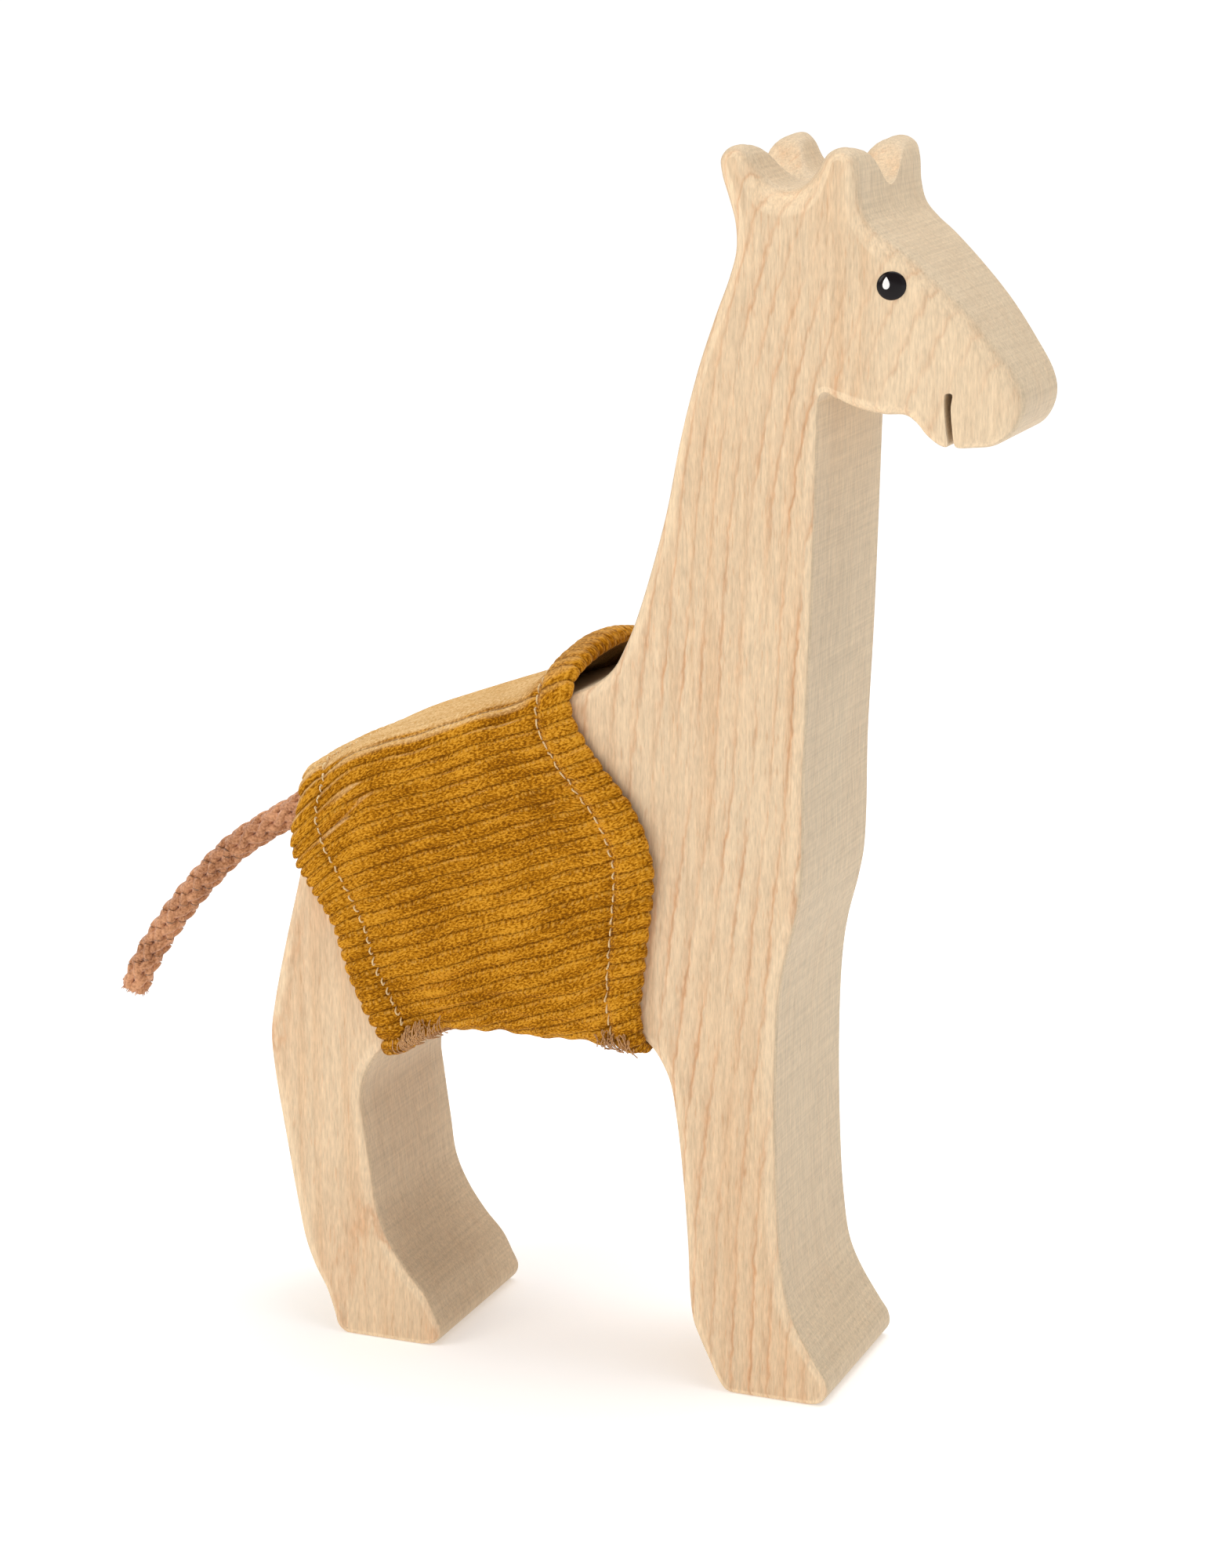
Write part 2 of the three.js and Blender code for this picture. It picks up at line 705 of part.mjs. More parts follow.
// A point of the sleeve: station 0 is the rear hem, 1 the front hem, and back is how far the
// point lies inside the hem that it is measured from.
function coverPoint(spot, x, outset) {
  const low = coverBottom(x);
  const high = coverTop(x);
  const middle = 1 - (spot.y / (HALF_PLANK + OUTSIDE + outset)) ** 2;
  const hem = frontHem(1);
  const rising = THREE.MathUtils.smoothstep(x, hem - ARCH_LENGTH - 2, hem - 2);
  const arch = FRONT_ARCH * rising * Math.max(0, middle) * spot.share;
  return new THREE.Vector3(x, spot.y, low + (high - low) * spot.share + spot.lift + arch);
}

function corduroyCover() {
  const outer = coverSection(0);
  const inner = coverSection(-CLOTH);
  const count = outer.length;
  const rings = [];
  const between = (s, t) => THREE.MathUtils.lerp(rearHem(s.share), frontHem(s.share), t);
  for (let k = 0; k <= COVER_STEPS; k++) {
    rings.push(outer.map((s) => coverPoint(s, between(s, k / COVER_STEPS), 0)));
  }
  for (let k = COVER_STEPS; k >= 0; k--) {
    rings.push(inner.map((s) => coverPoint(s, between(s, k / COVER_STEPS), -CLOTH)));
  }
  const triangles = rings.flatMap((_, k) =>
    ringStrip(k * count, ((k + 1) % rings.length) * count, count),
  );
  return namedMesh("corduroy_cover", indexedGeometry(rings.flat(), triangles), 0xa8701c, 0.95);
}

// A thread that runs round the sleeve along a hem, just clear of the cloth.
function hemThread(name, xAt) {
  const outset = THREAD_GAP + THREAD / 2;
  const loop = coverSection(outset).map((s) => coverPoint(s, xAt(s), outset));
  const section = new THREE.Shape();
  section.absarc(0, 0, THREAD / 2, 0, 2 * Math.PI, false);
  const geometry = new THREE.ExtrudeGeometry(section, {
    steps: 120,
    curveSegments: 3,
    bevelEnabled: false,
    extrudePath: new THREE.CatmullRomCurve3(loop, true, "centripetal"),
  });
  return namedMesh(name, geometry, 0xe6c79a, 0.8);
}

// The overlocked seam that closes the sleeve: a flat strip under the belly's cloth.
function bellySeam() {
  const from = rearHem(0) + REAR_HEM + SEAM_END;
  const to = frontHem(0) - FRONT_HEM - SEAM_END;
  const steps = 12;
  const along = Array.from({ length: steps + 1 }, (_, k) => from + ((to - from) * k) / steps);
  const upper = along.map((x) => new THREE.Vector2(x, coverBottom(x) - THREAD_GAP));
  const lower = upper.map((p) => new THREE.Vector2(p.x, p.y - SEAM_THICKNESS)).toReversed();
  const geometry = new THREE.ExtrudeGeometry(new THREE.Shape([...upper, ...lower]), {
    depth: SEAM_WIDTH,
    bevelEnabled: false,
  });
  geometry.rotateX(Math.PI / 2);
  geometry.translate(0, SEAM_WIDTH / 2 - SEAM_ASIDE, 0);
  return namedMesh("belly_seam", geometry, 0xb98a5a, 0.9);
}

// ---------------------------------------------------------------- assembly

const giraffe = new THREE.Group();
giraffe.add(
  woodenBody(),
  eyeDrop("eye_right", -1),
  eyeDrop("eye_left", 1),
  eyeGlint("eye_glint_right", -1),
  eyeGlint("eye_glint_left", 1),
  tailCord(),
  tailGlue(),
  corduroyCover(),
  hemThread("front_hem_thread", (s) => frontHem(s.share) - FRONT_HEM),
  hemThread("rear_hem_thread", (s) => rearHem(s.share) + REAR_HEM),
  bellySeam(),
);

export default giraffe;
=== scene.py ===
"""Giraffe figure of sanded maple with a corduroy back cover and a braided cord tail."""

import logging
from dataclasses import dataclass, field
from enum import Enum

import bmesh
import bpy
import numpy as np
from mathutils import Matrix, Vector


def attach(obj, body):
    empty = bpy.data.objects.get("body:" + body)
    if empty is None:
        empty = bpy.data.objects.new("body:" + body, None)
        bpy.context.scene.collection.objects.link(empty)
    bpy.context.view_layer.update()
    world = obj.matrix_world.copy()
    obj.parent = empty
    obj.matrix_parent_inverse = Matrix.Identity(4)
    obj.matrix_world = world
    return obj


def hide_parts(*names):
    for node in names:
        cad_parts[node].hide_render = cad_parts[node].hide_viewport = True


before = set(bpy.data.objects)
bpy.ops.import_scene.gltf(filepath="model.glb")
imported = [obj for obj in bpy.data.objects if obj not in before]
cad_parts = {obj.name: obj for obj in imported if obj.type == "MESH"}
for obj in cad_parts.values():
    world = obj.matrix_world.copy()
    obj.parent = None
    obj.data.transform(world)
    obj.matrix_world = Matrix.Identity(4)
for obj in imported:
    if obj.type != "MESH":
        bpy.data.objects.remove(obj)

Tree = bpy.types.NodeTree
Socket = bpy.types.NodeSocket
Material = bpy.types.Material
Piece = bpy.types.Object

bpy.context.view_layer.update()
MM = 0.001
BODY = "root"
LOG = logging.getLogger("giraffe")

# Places of the wood, in millimetres, in the frame of the CAD model.
THROAT_Z = 163.5
HALF_PLANK = 17.0


class Side(Enum):
    """The two broad faces of the plank, by the sign of their Y."""

    RIGHT = -1
    LEFT = 1


# ------------------------------------------------------------------ small helpers


def linear(hex_colour: str) -> tuple[float, float, float, float]:
    """Turn an sRGB hex colour into linear RGBA.

    Args:
        hex_colour: six hex digits, such as "e9c99f".

    Returns:
        Linear red, green, blue and an alpha of 1.
    """
    srgb = np.array([int(hex_colour[k : k + 2], 16) for k in (0, 2, 4)]) / 255
    rgb = np.where(srgb <= 0.04045, srgb / 12.92, ((srgb + 0.055) / 1.055) ** 2.4)
    return (*(float(c) for c in rgb), 1.0)


def add_node(tree: Tree, kind: str, inputs: dict | None = None, **settings) -> bpy.types.Node:
    """Add one shader node with its settings, values and links.

    Args:
        tree: the node tree it goes into.
        kind: Blender's type name of the node, without "ShaderNode".
        inputs: socket name or number to a value, or to the output socket to link.
        settings: attributes of the node.

    Returns:
        The new node.
    """
    node = tree.nodes.new("ShaderNode" + kind)
    for name, value in settings.items():
        setattr(node, name, value)
    for socket, value in (inputs or {}).items():
        if isinstance(value, Socket):
            tree.links.new(value, node.inputs[socket])
        else:
            node.inputs[socket].default_value = value
    return node


def blank_material(name: str) -> tuple[Material, Tree]:
    """Make a material with an empty node tree.

    Args:
        name: the material's name.

    Returns:
        The material and its node tree.
    """
    material = bpy.data.materials.new(name)
    material.use_nodes = True
    material.node_tree.nodes.clear()
    return material, material.node_tree


def ramp(tree: Tree, factor: Socket, stops: list[tuple[float, str]]) -> Socket:
    """Add a colour ramp.

    Args:
        tree: the node tree it goes into.
        factor: the socket that drives it.
        stops: position and sRGB hex of each stop, in order.

    Returns:
        The ramp's colour output.
    """
    node = add_node(tree, "ValToRGB", {"Fac": factor})
    elements = node.color_ramp.elements
    while len(elements) < len(stops):
        elements.new(0.5)
    for element, (position, colour) in zip(elements, stops):
        element.position = position
        element.color = linear(colour)
    return node.outputs["Color"]


def calc(tree: Tree, operation: str, *values, clamp: bool = False) -> Socket:
    """Add a Math node.

    Args:
        tree: the node tree it goes into.
        operation: Blender's name of the operation.
        values: its inputs, numbers or sockets.
        clamp: whether the result is held between 0 and 1.

    Returns:
        The result's socket.
    """
    inputs = dict(enumerate(values))
    return add_node(tree, "Math", inputs, operation=operation, use_clamp=clamp).outputs[0]


def plus(tree: Tree, first, second) -> Socket:
    """The sum of two numbers or sockets."""
    return calc(tree, "ADD", first, second)


def minus(tree: Tree, first, second, clamp: bool = False) -> Socket:
    """The first number or socket less the second."""
    return calc(tree, "SUBTRACT", first, second, clamp=clamp)


def times(tree: Tree, first, second, clamp: bool = False) -> Socket:
    """The product of two numbers or sockets."""
    return calc(tree, "MULTIPLY", first, second, clamp=clamp)


def tint(tree: Tree, value: Socket, colour) -> Socket:
    """A colour made brighter or darker by value."""
    return add_node(tree, "HueSaturation", {"Value": value, "Color": colour}).outputs[0]


def mix(tree: Tree, factor, first, second) -> Socket:
    """Mix two colours.

    Args:
        tree: the node tree it goes into.
        factor: number or socket.
        first: colour or socket.
        second: colour or socket.

    Returns:
        The mixed colour's socket.
    """
    node = add_node(tree, "Mix", {0: factor, 6: first, 7: second}, data_type="RGBA")
    return node.outputs[2]


def stretch(tree: Tree, place: Socket, scale: tuple) -> Socket:
    """Coordinates multiplied by scale."""
    return add_node(tree, "VectorMath", {0: place, 1: scale}, operation="MULTIPLY").outputs[0]


def noise(tree: Tree, place: Socket, scale: tuple, detail: float) -> Socket:
    """Noise over coordinates that are first stretched by scale."""
    stretched = stretch(tree, place, scale)
    inputs = {"Vector": stretched, "Scale": 1.0, "Detail": detail}
    return add_node(tree, "TexNoise", inputs).outputs["Fac"]


def fade(tree: Tree, value: Socket, low: float, high: float, smooth: bool = True) -> Socket:
    """0 where value is at low and 1 where it is at high, smooth or straight between them."""
    kind = "SMOOTHSTEP" if smooth else "LINEAR"
    return add_node(tree, "MapRange", {0: value, 1: low, 2: high}, interpolation_type=kind).outputs[0]


def rescale(tree: Tree, value: Socket, *limits: float) -> Socket:
    """Carry value from its low and high limit to the third and fourth, along a straight line."""
    return add_node(tree, "MapRange", {0: value, **dict(enumerate(limits, 1))}).outputs[0]


def surface_direction(tree: Tree) -> Socket:
    """The surface's own outward direction."""
    return add_node(tree, "TexCoord").outputs["Normal"]


def object_place(tree: Tree) -> Socket:
    """The point's place on the object, in metres."""
    return add_node(tree, "TexCoord").outputs["Object"]


def split(tree: Tree, vector: Socket) -> bpy.types.NodeOutputs:
    """The X, Y and Z of a vector."""
    return add_node(tree, "SeparateXYZ", {0: vector}).outputs


def bump(tree: Tree, strength: float, distance: float, height: Socket) -> Socket:
    """A normal bent by a height, distance being the height's full swing in metres."""
    inputs = {"Strength": strength, "Distance": distance, "Height": height}
    return add_node(tree, "Bump", inputs).outputs[0]


def finish_with(tree: Tree, inputs: dict) -> None:
    """End a material with one principled shader that has these inputs."""
    shader = add_node(tree, "BsdfPrincipled", inputs)
    add_node(tree, "OutputMaterial", {"Surface": shader.outputs[0]})


def smoothstep(x: np.ndarray, low: float, high: float) -> np.ndarray:
    """0 below low, 1 above high, and 3t^2 - 2t^3 between them."""
    t = np.clip((x - low) / (high - low), 0, 1)
    return t * t * (3 - 2 * t)


def smooth_minimum(a: np.ndarray, b: np.ndarray, width: float) -> np.ndarray:
    """The smaller of a and b, with the corner where they cross rounded over width."""
    h = np.clip(0.5 + 0.5 * (b - a) / width, 0, 1)
    return b + (a - b) * h - width * h * (1 - h)


def curve_through(nodes: np.ndarray, per_node: int, closed: bool) -> np.ndarray:
    """Centripetal Catmull-Rom curve through nodes, as whole arrays.

    Each span is the cubic that passes through its two ends with tangents taken from the
    square-rooted distances to the neighbours.

    Args:
        nodes: (n, k) array; distances use all its columns.
        per_node: samples to each span.
        closed: whether the last node joins the first.

    Returns:
        (m, k) array of samples.
    """
    if closed:
        p0, p1, p2, p3 = (np.roll(nodes, shift, axis=0) for shift in (1, 0, -1, -2))
    else:
        first = 2 * nodes[:1] - nodes[1:2]
        last = 2 * nodes[-1:] - nodes[-2:-1]
        padded = np.vstack([first, nodes, last])
        p0, p1, p2, p3 = padded[:-3], padded[1:-2], padded[2:-1], padded[3:]
    step = [np.sqrt(np.linalg.norm(b - a, axis=1))[:, None] for a, b in ((p0, p1), (p1, p2), (p2, p3))]
    m1 = ((p1 - p0) / step[0] - (p2 - p0) / (step[0] + step[1]) + (p2 - p1) / step[1]) * step[1]
    m2 = ((p2 - p1) / step[1] - (p3 - p1) / (step[1] + step[2]) + (p3 - p2) / step[2]) * step[1]
    t = (np.arange(per_node) / per_node)[None, :, None]
    p1, p2, m1, m2 = (a[:, None, :] for a in (p1, p2, m1, m2))
    cubic = (2 * t**3 - 3 * t**2 + 1) * p1 + (t**3 - 2 * t**2 + t) * m1
    cubic = cubic + (3 * t**2 - 2 * t**3) * p2 + (t**3 - t**2) * m2
    samples = cubic.reshape(-1, nodes.shape[1])
    return samples if closed else np.vstack([samples, nodes[-1:]])


def grid_quads(
    rows: int, columns: int, close_rows: bool, close_columns: bool
) -> tuple[np.ndarray, np.ndarray]:
    """Faces of a grid of vertices numbered row by row.

    Args:
        rows: rows of vertices.
        columns: vertices in a row.
        close_rows: whether the last row joins the first.
        close_columns: whether the last column joins the first.

    Returns:
        (n, 4) vertex numbers, and (n, 4, 2) row and column of each corner, not wrapped.
    """
    r, c = np.meshgrid(
        np.arange(rows if close_rows else rows - 1),
        np.arange(columns if close_columns else columns - 1),
        indexing="ij",
    )
    steps = ((0, 0), (1, 0), (1, 1), (0, 1))
    corners = np.stack([np.stack([r + a, c + b], axis=-1) for a, b in steps], axis=-2)
    corners = corners.reshape(-1, 4, 2)
    faces = (corners[..., 0] % rows) * columns + corners[..., 1] % columns
    return faces, corners


def build_piece(
    name: str,
    vertices: np.ndarray,
    faces: np.ndarray | list,
    material: Material,
    slot: str,
    uv: np.ndarray | None = None,
) -> Piece:
    """Put vertices in millimetres and faces into a smooth mesh object at the origin.

    Args:
        name: the object's name.
        vertices: (n, 3) array in millimetres.
        faces: (m, 4) array, or a list of index lists of any length.
        material: its material.
        slot: the material slot's name; not used.
        uv: (m, 4, 2) corner coordinates, for quads only.

    Returns:
        The new object.
    """
    mesh = bpy.data.meshes.new(name)
    mesh.from_pydata((vertices * MM).tolist(), [], faces if isinstance(faces, list) else faces.tolist())
    mesh.validate()
    if uv is not None:
        layer = mesh.uv_layers.new(name="cloth")
        layer.data.foreach_set("uv", uv.reshape(-1).astype(np.float32))
    mesh.polygons.foreach_set("use_smooth", np.ones(len(mesh.polygons), dtype=bool))
    mesh.materials.append(material)
    mesh.update()
    piece = bpy.data.objects.new(name, mesh)
    bpy.context.collection.objects.link(piece)
    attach(piece, BODY)
    return piece


def tubes(paths: np.ndarray, radii: np.ndarray, sides: int) -> tuple[np.ndarray, np.ndarray]:
    """Round tubes along many paths at once, closed by flat ends.

    A section is centre + radius (cos a U + sin a V), with U across the path and the
    vertical, and V = tangent x U.

    Args:
        paths: (tubes, points, 3) centre lines.
        radii: (points,) or (tubes, points) radii.
        sides: corners of a section.

    Returns:
        Vertices (n, 3) and quads (m, 4).
    """
    count, points, _ = paths.shape
    tangent = np.gradient(paths, axis=1)
    tangent /= np.linalg.norm(tangent, axis=2, keepdims=True) + 1e-9
    helper = np.where(np.abs(tangent[..., 2:3]) > 0.9, [1.0, 0, 0], [0, 0, 1.0])
    across = np.cross(helper, tangent)
    across /= np.linalg.norm(across, axis=2, keepdims=True)
    up = np.cross(tangent, across)
    turn = full_turn(sides)
    ring = across[:, :, None] * np.cos(turn)[:, None] + up[:, :, None] * np.sin(turn)[:, None]
    radius = np.broadcast_to(radii, (count, points))[:, :, None, None]
    vertices = (paths[:, :, None] + ring * radius).reshape(-1, 3)
    quads, _ = grid_quads(points, sides, False, True)
    quads = quads[:, ::-1]
    caps = np.array([(0, k, k + 1, k + 2) for k in range(1, sides - 1, 2)])
    one = np.vstack([quads, caps[:, ::-1], caps + (points - 1) * sides])
    offsets = (np.arange(count) * points * sides)[:, None, None]
    return vertices, (one[None] + offsets).reshape(-1, 4)


def distance_along(line: np.ndarray) -> np.ndarray:
    """Distance from a line's first point to each of its points."""
    return np.concatenate([[0], np.cumsum(np.linalg.norm(np.diff(line, axis=0), axis=1))])


def points_at(at: np.ndarray, known: np.ndarray, line: np.ndarray) -> np.ndarray:
    """A line's points where its known distances reach the values of at."""
    return np.stack([np.interp(at, known, line[:, k]) for k in range(3)], axis=-1)


def joined(shapes: list[tuple[np.ndarray, np.ndarray]]) -> tuple[np.ndarray, np.ndarray]:
    """Several shapes' vertices and faces as one."""
    starts = np.cumsum([0] + [len(vertices) for vertices, _ in shapes])
    faces = [faces + start for (_, faces), start in zip(shapes, starts)]
    return np.vstack([vertices for vertices, _ in shapes]), np.vstack(faces)


def spokes(along: np.ndarray, turn: np.ndarray) -> np.ndarray:
    """Unit vectors square to along, each turned by its angle from Y."""
    side = np.array([0, 1.0, 0])
    return np.cos(turn)[:, None] * side + np.sin(turn)[:, None] * np.cross(along, side)


def full_turn(count: int) -> np.ndarray:
    """Angles that share out one turn."""
    return 2 * np.pi * np.arange(count) / count


# ------------------------------------------------------------------ finishes


@dataclass(frozen=True)
class SandedMaple:
    """Maple, planed on its broad faces and belt-sanded on its sawn edges, left unvarnished.

    Pale cream-pink wood whose year rings show as thin wavy tan lines on the broad faces,
    with short silky fibres; the sawn edges are greyer and brighter, partly their sawn grain and
    partly painted light from the side, with fine marks across them; a paler band along the
    rounded edges is a painted highlight.
    """

    light: str = "eed7b5"
    warm: str = "e7c49b"
    streak: str = "d5a372"
    ring: str = "cc8a54"
    edge_highlight: str = "fbe1bc"
    sawn: str = "d4c0a2"
    value: float = 1.335
    ring_mm: float = 2.3
    lean: float = 0.07
    head_lean: float = 0.0013
    pith_mm: tuple[float, float] = (-52.0, 54.0)

    def build(self) -> Material:
        """Make the material.

        Returns:
            The material.
        """
        material, tree = blank_material("sanded_maple")
        mm = stretch(tree, object_place(tree), (1000, 1000, 1000))
        rings = self._rings(tree, mm)
        streaks = noise(tree, mm, (0.42, 0.42, 0.016), 3.0)
        pores = noise(tree, mm, (2.4, 2.4, 0.35), 1.0)
        fibres = noise(tree, mm, (3.8, 3.8, 0.6), 2.0)
        silk = noise(tree, mm, (1.5, 1.5, 0.12), 3.0)
        cloud = noise(tree, mm, (0.05, 0.05, 0.015), 2.0)
        wall = self._wall(tree)
        saw = noise(tree, mm, (2.6, 0.05, 2.6), 2.0)
        base = mix(tree, cloud, linear(self.light), linear(self.warm))
        thread = times(tree, minus(tree, streaks, 0.48), 3.2, clamp=True)
        base = mix(tree, times(tree, thread, 0.5), base, linear(self.streak))
        fleck = times(tree, minus(tree, pores, 0.6), 5.0, clamp=True)
        base = mix(tree, times(tree, fleck, 0.35), base, linear(self.ring))
        # A paler band on the rounded edges: a painted highlight where they catch the light.
        base = mix(tree, times(tree, self._painted_edge_highlight(tree), 0.6), base, linear(self.edge_highlight))
        ring_share = times(tree, rings, minus(tree, 0.68, times(tree, wall, 0.55)))
        cheek = rescale(tree, split(tree, mm)["X"], 28.0, 42.0, 1.0, 0.5)
        ring_share = times(tree, ring_share, cheek)
        base = mix(tree, ring_share, base, linear(self.ring))
        # The sawn edges' greyer tint, and their added brightness below: partly the sawn grain, partly
        # painted light, the cooler light on the side walls.
        base = mix(tree, times(tree, wall, 0.7), base, linear(self.sawn))
        shade = plus(tree, times(tree, fibres, 0.5), times(tree, silk, 0.32))
        shade = plus(tree, shade, times(tree, times(tree, saw, wall), 0.3))
        # Brighter on the sawn edges: partly painted light on the side walls.
        value = minus(tree, plus(tree, self.value, times(tree, wall, 0.17)), shade)
        tone = tint(tree, value, base)
        saw_marks = times(tree, saw, wall)
        height = plus(tree, times(tree, fibres, 0.8), times(tree, saw_marks, 0.7))
        normal = bump(tree, 0.35, 0.00012, height)
        finish_with(tree, {"Base Color": tone, "Roughness": 0.62, "IOR": 1.45, "Normal": normal})
        return material

    def _wall(self, tree: Tree) -> Socket:
        """1 on the sawn edges and 0 on the broad faces, from the surface's own direction."""
        level = self._facing(tree)
        return minus(tree, 1.0, fade(tree, level, 0.4, 0.78))

    def _painted_edge_highlight(self, tree: Tree) -> Socket:
        """1 on the band along the rounded edges, where the surface leans out of the face: the mask of
        the painted highlight.
        """
        level = self._facing(tree)
        start, end = fade(tree, level, 0.9985, 0.97), fade(tree, level, 0.8, 0.6)
        return minus(tree, start, end, clamp=True)

    def _facing(self, tree: Tree) -> Socket:
        """How squarely the surface faces along Y, from 0 to 1."""
        return calc(tree, "ABSOLUTE", split(tree, surface_direction(tree))["Y"])

    def _rings(self, tree: Tree, mm: Socket) -> Socket:
        """Year rings: a thin dark line once every ring_mm of distance from the pith."""
        sway = noise(tree, mm, (0.022, 0.022, 0.007), 1.0)
        ripple = noise(tree, mm, (0.7, 0.7, 0.3), 2.5)
        parts = split(tree, mm)
        above = calc(tree, "MAXIMUM", minus(tree, parts["Z"], 115.0), 0.0)
        bow = times(tree, times(tree, above, above), self.head_lean)
        upright = minus(tree, parts["X"], times(tree, parts["Z"], self.lean))
        upright = minus(tree, upright, bow)
        dx = minus(tree, upright, self.pith_mm[0])
        dy = minus(tree, parts["Y"], self.pith_mm[1])
        square = plus(tree, times(tree, dx, dx), times(tree, dy, dy))
        radius = calc(tree, "SQRT", square)
        radius = plus(tree, radius, times(tree, sway, 15.0))
        radius = plus(tree, radius, times(tree, ripple, 1.2))
        phase = calc(tree, "FRACT", calc(tree, "DIVIDE", radius, self.ring_mm))
        line = add_node(tree, "ValToRGB", {"Fac": phase})
        for position, grey in ((0.4, 0.0), (0.74, 0.3), (0.86, 1.0), (0.97, 0.1)):
            element = line.color_ramp.elements.new(position)
            element.color = (grey, grey, grey, 1)
        line.color_ramp.elements[0].color = (0, 0, 0, 1)
        line.color_ramp.elements[-1].color = (0, 0, 0, 1)
        faint = noise(tree, mm, (0.12, 0.12, 0.035), 3.0)
        strength = times(tree, minus(tree, faint, 0.36), 3.8, clamp=True)
        return times(tree, line.outputs["Color"], strength)


@dataclass(frozen=True)
class GlossPaint:
    """Thick acrylic paint set down with a round stick: a glossy, slightly domed drop."""

    name: str
    colour: str
    roughness: float

    def build(self) -> Material:
        """Make the material: one colour, mottled a little as brushed paint is.

        Returns:
            The material.
        """
        material, tree = blank_material(self.name)
        mottle = noise(tree, object_place(tree), (1400.0,) * 3, 3.0)
        value = plus(tree, 0.85, times(tree, mottle, 0.3))
        tone = tint(tree, value, linear(self.colour))
        normal = bump(tree, 0.1, 0.00005, mottle)
        look = {"Base Color": tone, "Roughness": self.roughness, "Specular IOR Level": 0.22}
        finish_with(tree, {**look, "Normal": normal})
        return material


@dataclass(frozen=True)
class WideWaleCorduroy:
    """Cotton corduroy: ribs of cut pile 2.5 mm apart over a plain ground.

    The pile scatters light along its edges, so faces seen at a low angle turn pale gold.
    Painted shade darkens the furrows between the ribs and painted highlights light the rib edges,
    both in long dashes; up-facing tops on the back get painted light, a paler tone.
    The piece's "lining" attribute is 1 where the cloth shows its plain back, darkened with painted
    shade.
    """

    pile: str = "b67610"
    bright: str = "e2a030"
    deep: str = "804c06"
    # The next colours are painted light: a shade for the furrows, a highlight for the upper edge of
    # each rib, and two paler tones for the up-facing top of the back.
    furrow: str = "4f2b05"
    rib_highlight_colour: str = "dfa548"
    back: str = "fbd9a4"
    lit_back_deep: str = "d6a35c"
    sheen: str = "ffd08a"
    # The lining's colour: its plain ground weave, darkened with painted shade.
    ground: str = "6b4410"

    def build(self) -> Material:
        """Make the material; the piece's UV counts ribs across and 10 mm lengths along.

        Returns:
            The material.
        """
        material, tree = blank_material("wide_wale_corduroy")
        uv = add_node(tree, "UVMap", uv_map="cloth").outputs[0]
        phase = calc(tree, "FRACT", split(tree, uv)["X"])
        valley = calc(tree, "ABSOLUTE", minus(tree, times(tree, phase, 2.0), 1.0))
        furrow = calc(tree, "POWER", valley, 9.0)
        crushed = noise(tree, uv, (1.9, 1.1, 1.0), 3.0)
        tufts = noise(tree, uv, (9.0, 16.0, 1.0), 5.0)
        dash_noise = noise(tree, uv, (1.0, 19.0, 1.0), 2.0)
        patch = noise(tree, uv, (0.12, 0.5, 1.0), 2.0)
        blend = plus(tree, times(tree, crushed, 0.28), times(tree, tufts, 0.72))
        blend = plus(tree, blend, times(tree, minus(tree, patch, 0.5), 0.25))
        tone = ramp(tree, blend, [(0.4, self.deep), (0.495, self.pile), (0.59, self.bright)])
        # Paler tone for the up-facing top of the back: painted light.
        lit_backs = ramp(tree, blend, [(0.36, self.lit_back_deep), (0.6, self.back)])
        tone = mix(tree, self._painted_top_light(tree), tone, lit_backs)
        # Painted shade in the furrows between the ribs, broken into dashes.
        broken = times(tree, minus(tree, dash_noise, 0.3), 4.0, clamp=True)
        furrow = times(tree, times(tree, furrow, broken), 0.9)
        tone = mix(tree, furrow, tone, linear(self.furrow))
        # A painted highlight on the upper edge of each rib, in dashes.
        rib_highlight_mask = self._painted_rib_highlight(tree, phase)
        lit = times(tree, minus(tree, dash_noise, 0.47), 6.0, clamp=True)
        rib_highlight_mask = times(tree, times(tree, rib_highlight_mask, lit), 0.8)
        tone = mix(tree, rib_highlight_mask, tone, linear(self.rib_highlight_colour))
        # The lining darker: its plain ground weave, and painted shade inside the sleeve where it shows
        # under the hems.
        lining = add_node(tree, "Attribute", attribute_name="lining").outputs["Fac"]
        tone = mix(tree, lining, tone, linear(self.ground))
        height = plus(tree, tufts, times(tree, crushed, 0.6))
        look = {"Base Color": tone, "Roughness": 0.95, "Specular IOR Level": 0.05}
        pile = {"Sheen Weight": 0.55, "Sheen Roughness": 0.3, "Sheen Tint": linear(self.sheen)}
        finish_with(tree, {**look, **pile, "Normal": bump(tree, 1.0, 0.0003, height)})
        return material

    def _painted_top_light(self, tree: Tree) -> Socket:
        """How far the painted top light reaches: up-facing cloth high on the back, weaker towards the
        front hem.
        """
        lean = {0: surface_direction(tree), 1: (-0.5, 0.0, 0.87)}
        up = add_node(tree, "VectorMath", lean, operation="DOT_PRODUCT").outputs["Value"]
        top = times(tree, fade(tree, up, 0.35, 0.85), 0.9)
        parts = split(tree, object_place(tree))
        hem = rescale(tree, parts["X"], -0.018, -0.013, 1.0, 0.25)
        high = fade(tree, parts["Z"], 0.08, 0.088, smooth=False)
        return times(tree, times(tree, top, hem), high)

    def _painted_rib_highlight(self, tree: Tree, phase: Socket) -> Socket:
        """1 on the edge of each rib that faces up, just beside the furrow: the mask of a painted
        highlight.
        """
        return minus(tree, fade(tree, phase, 0.04, 0.14), fade(tree, phase, 0.2, 0.34))


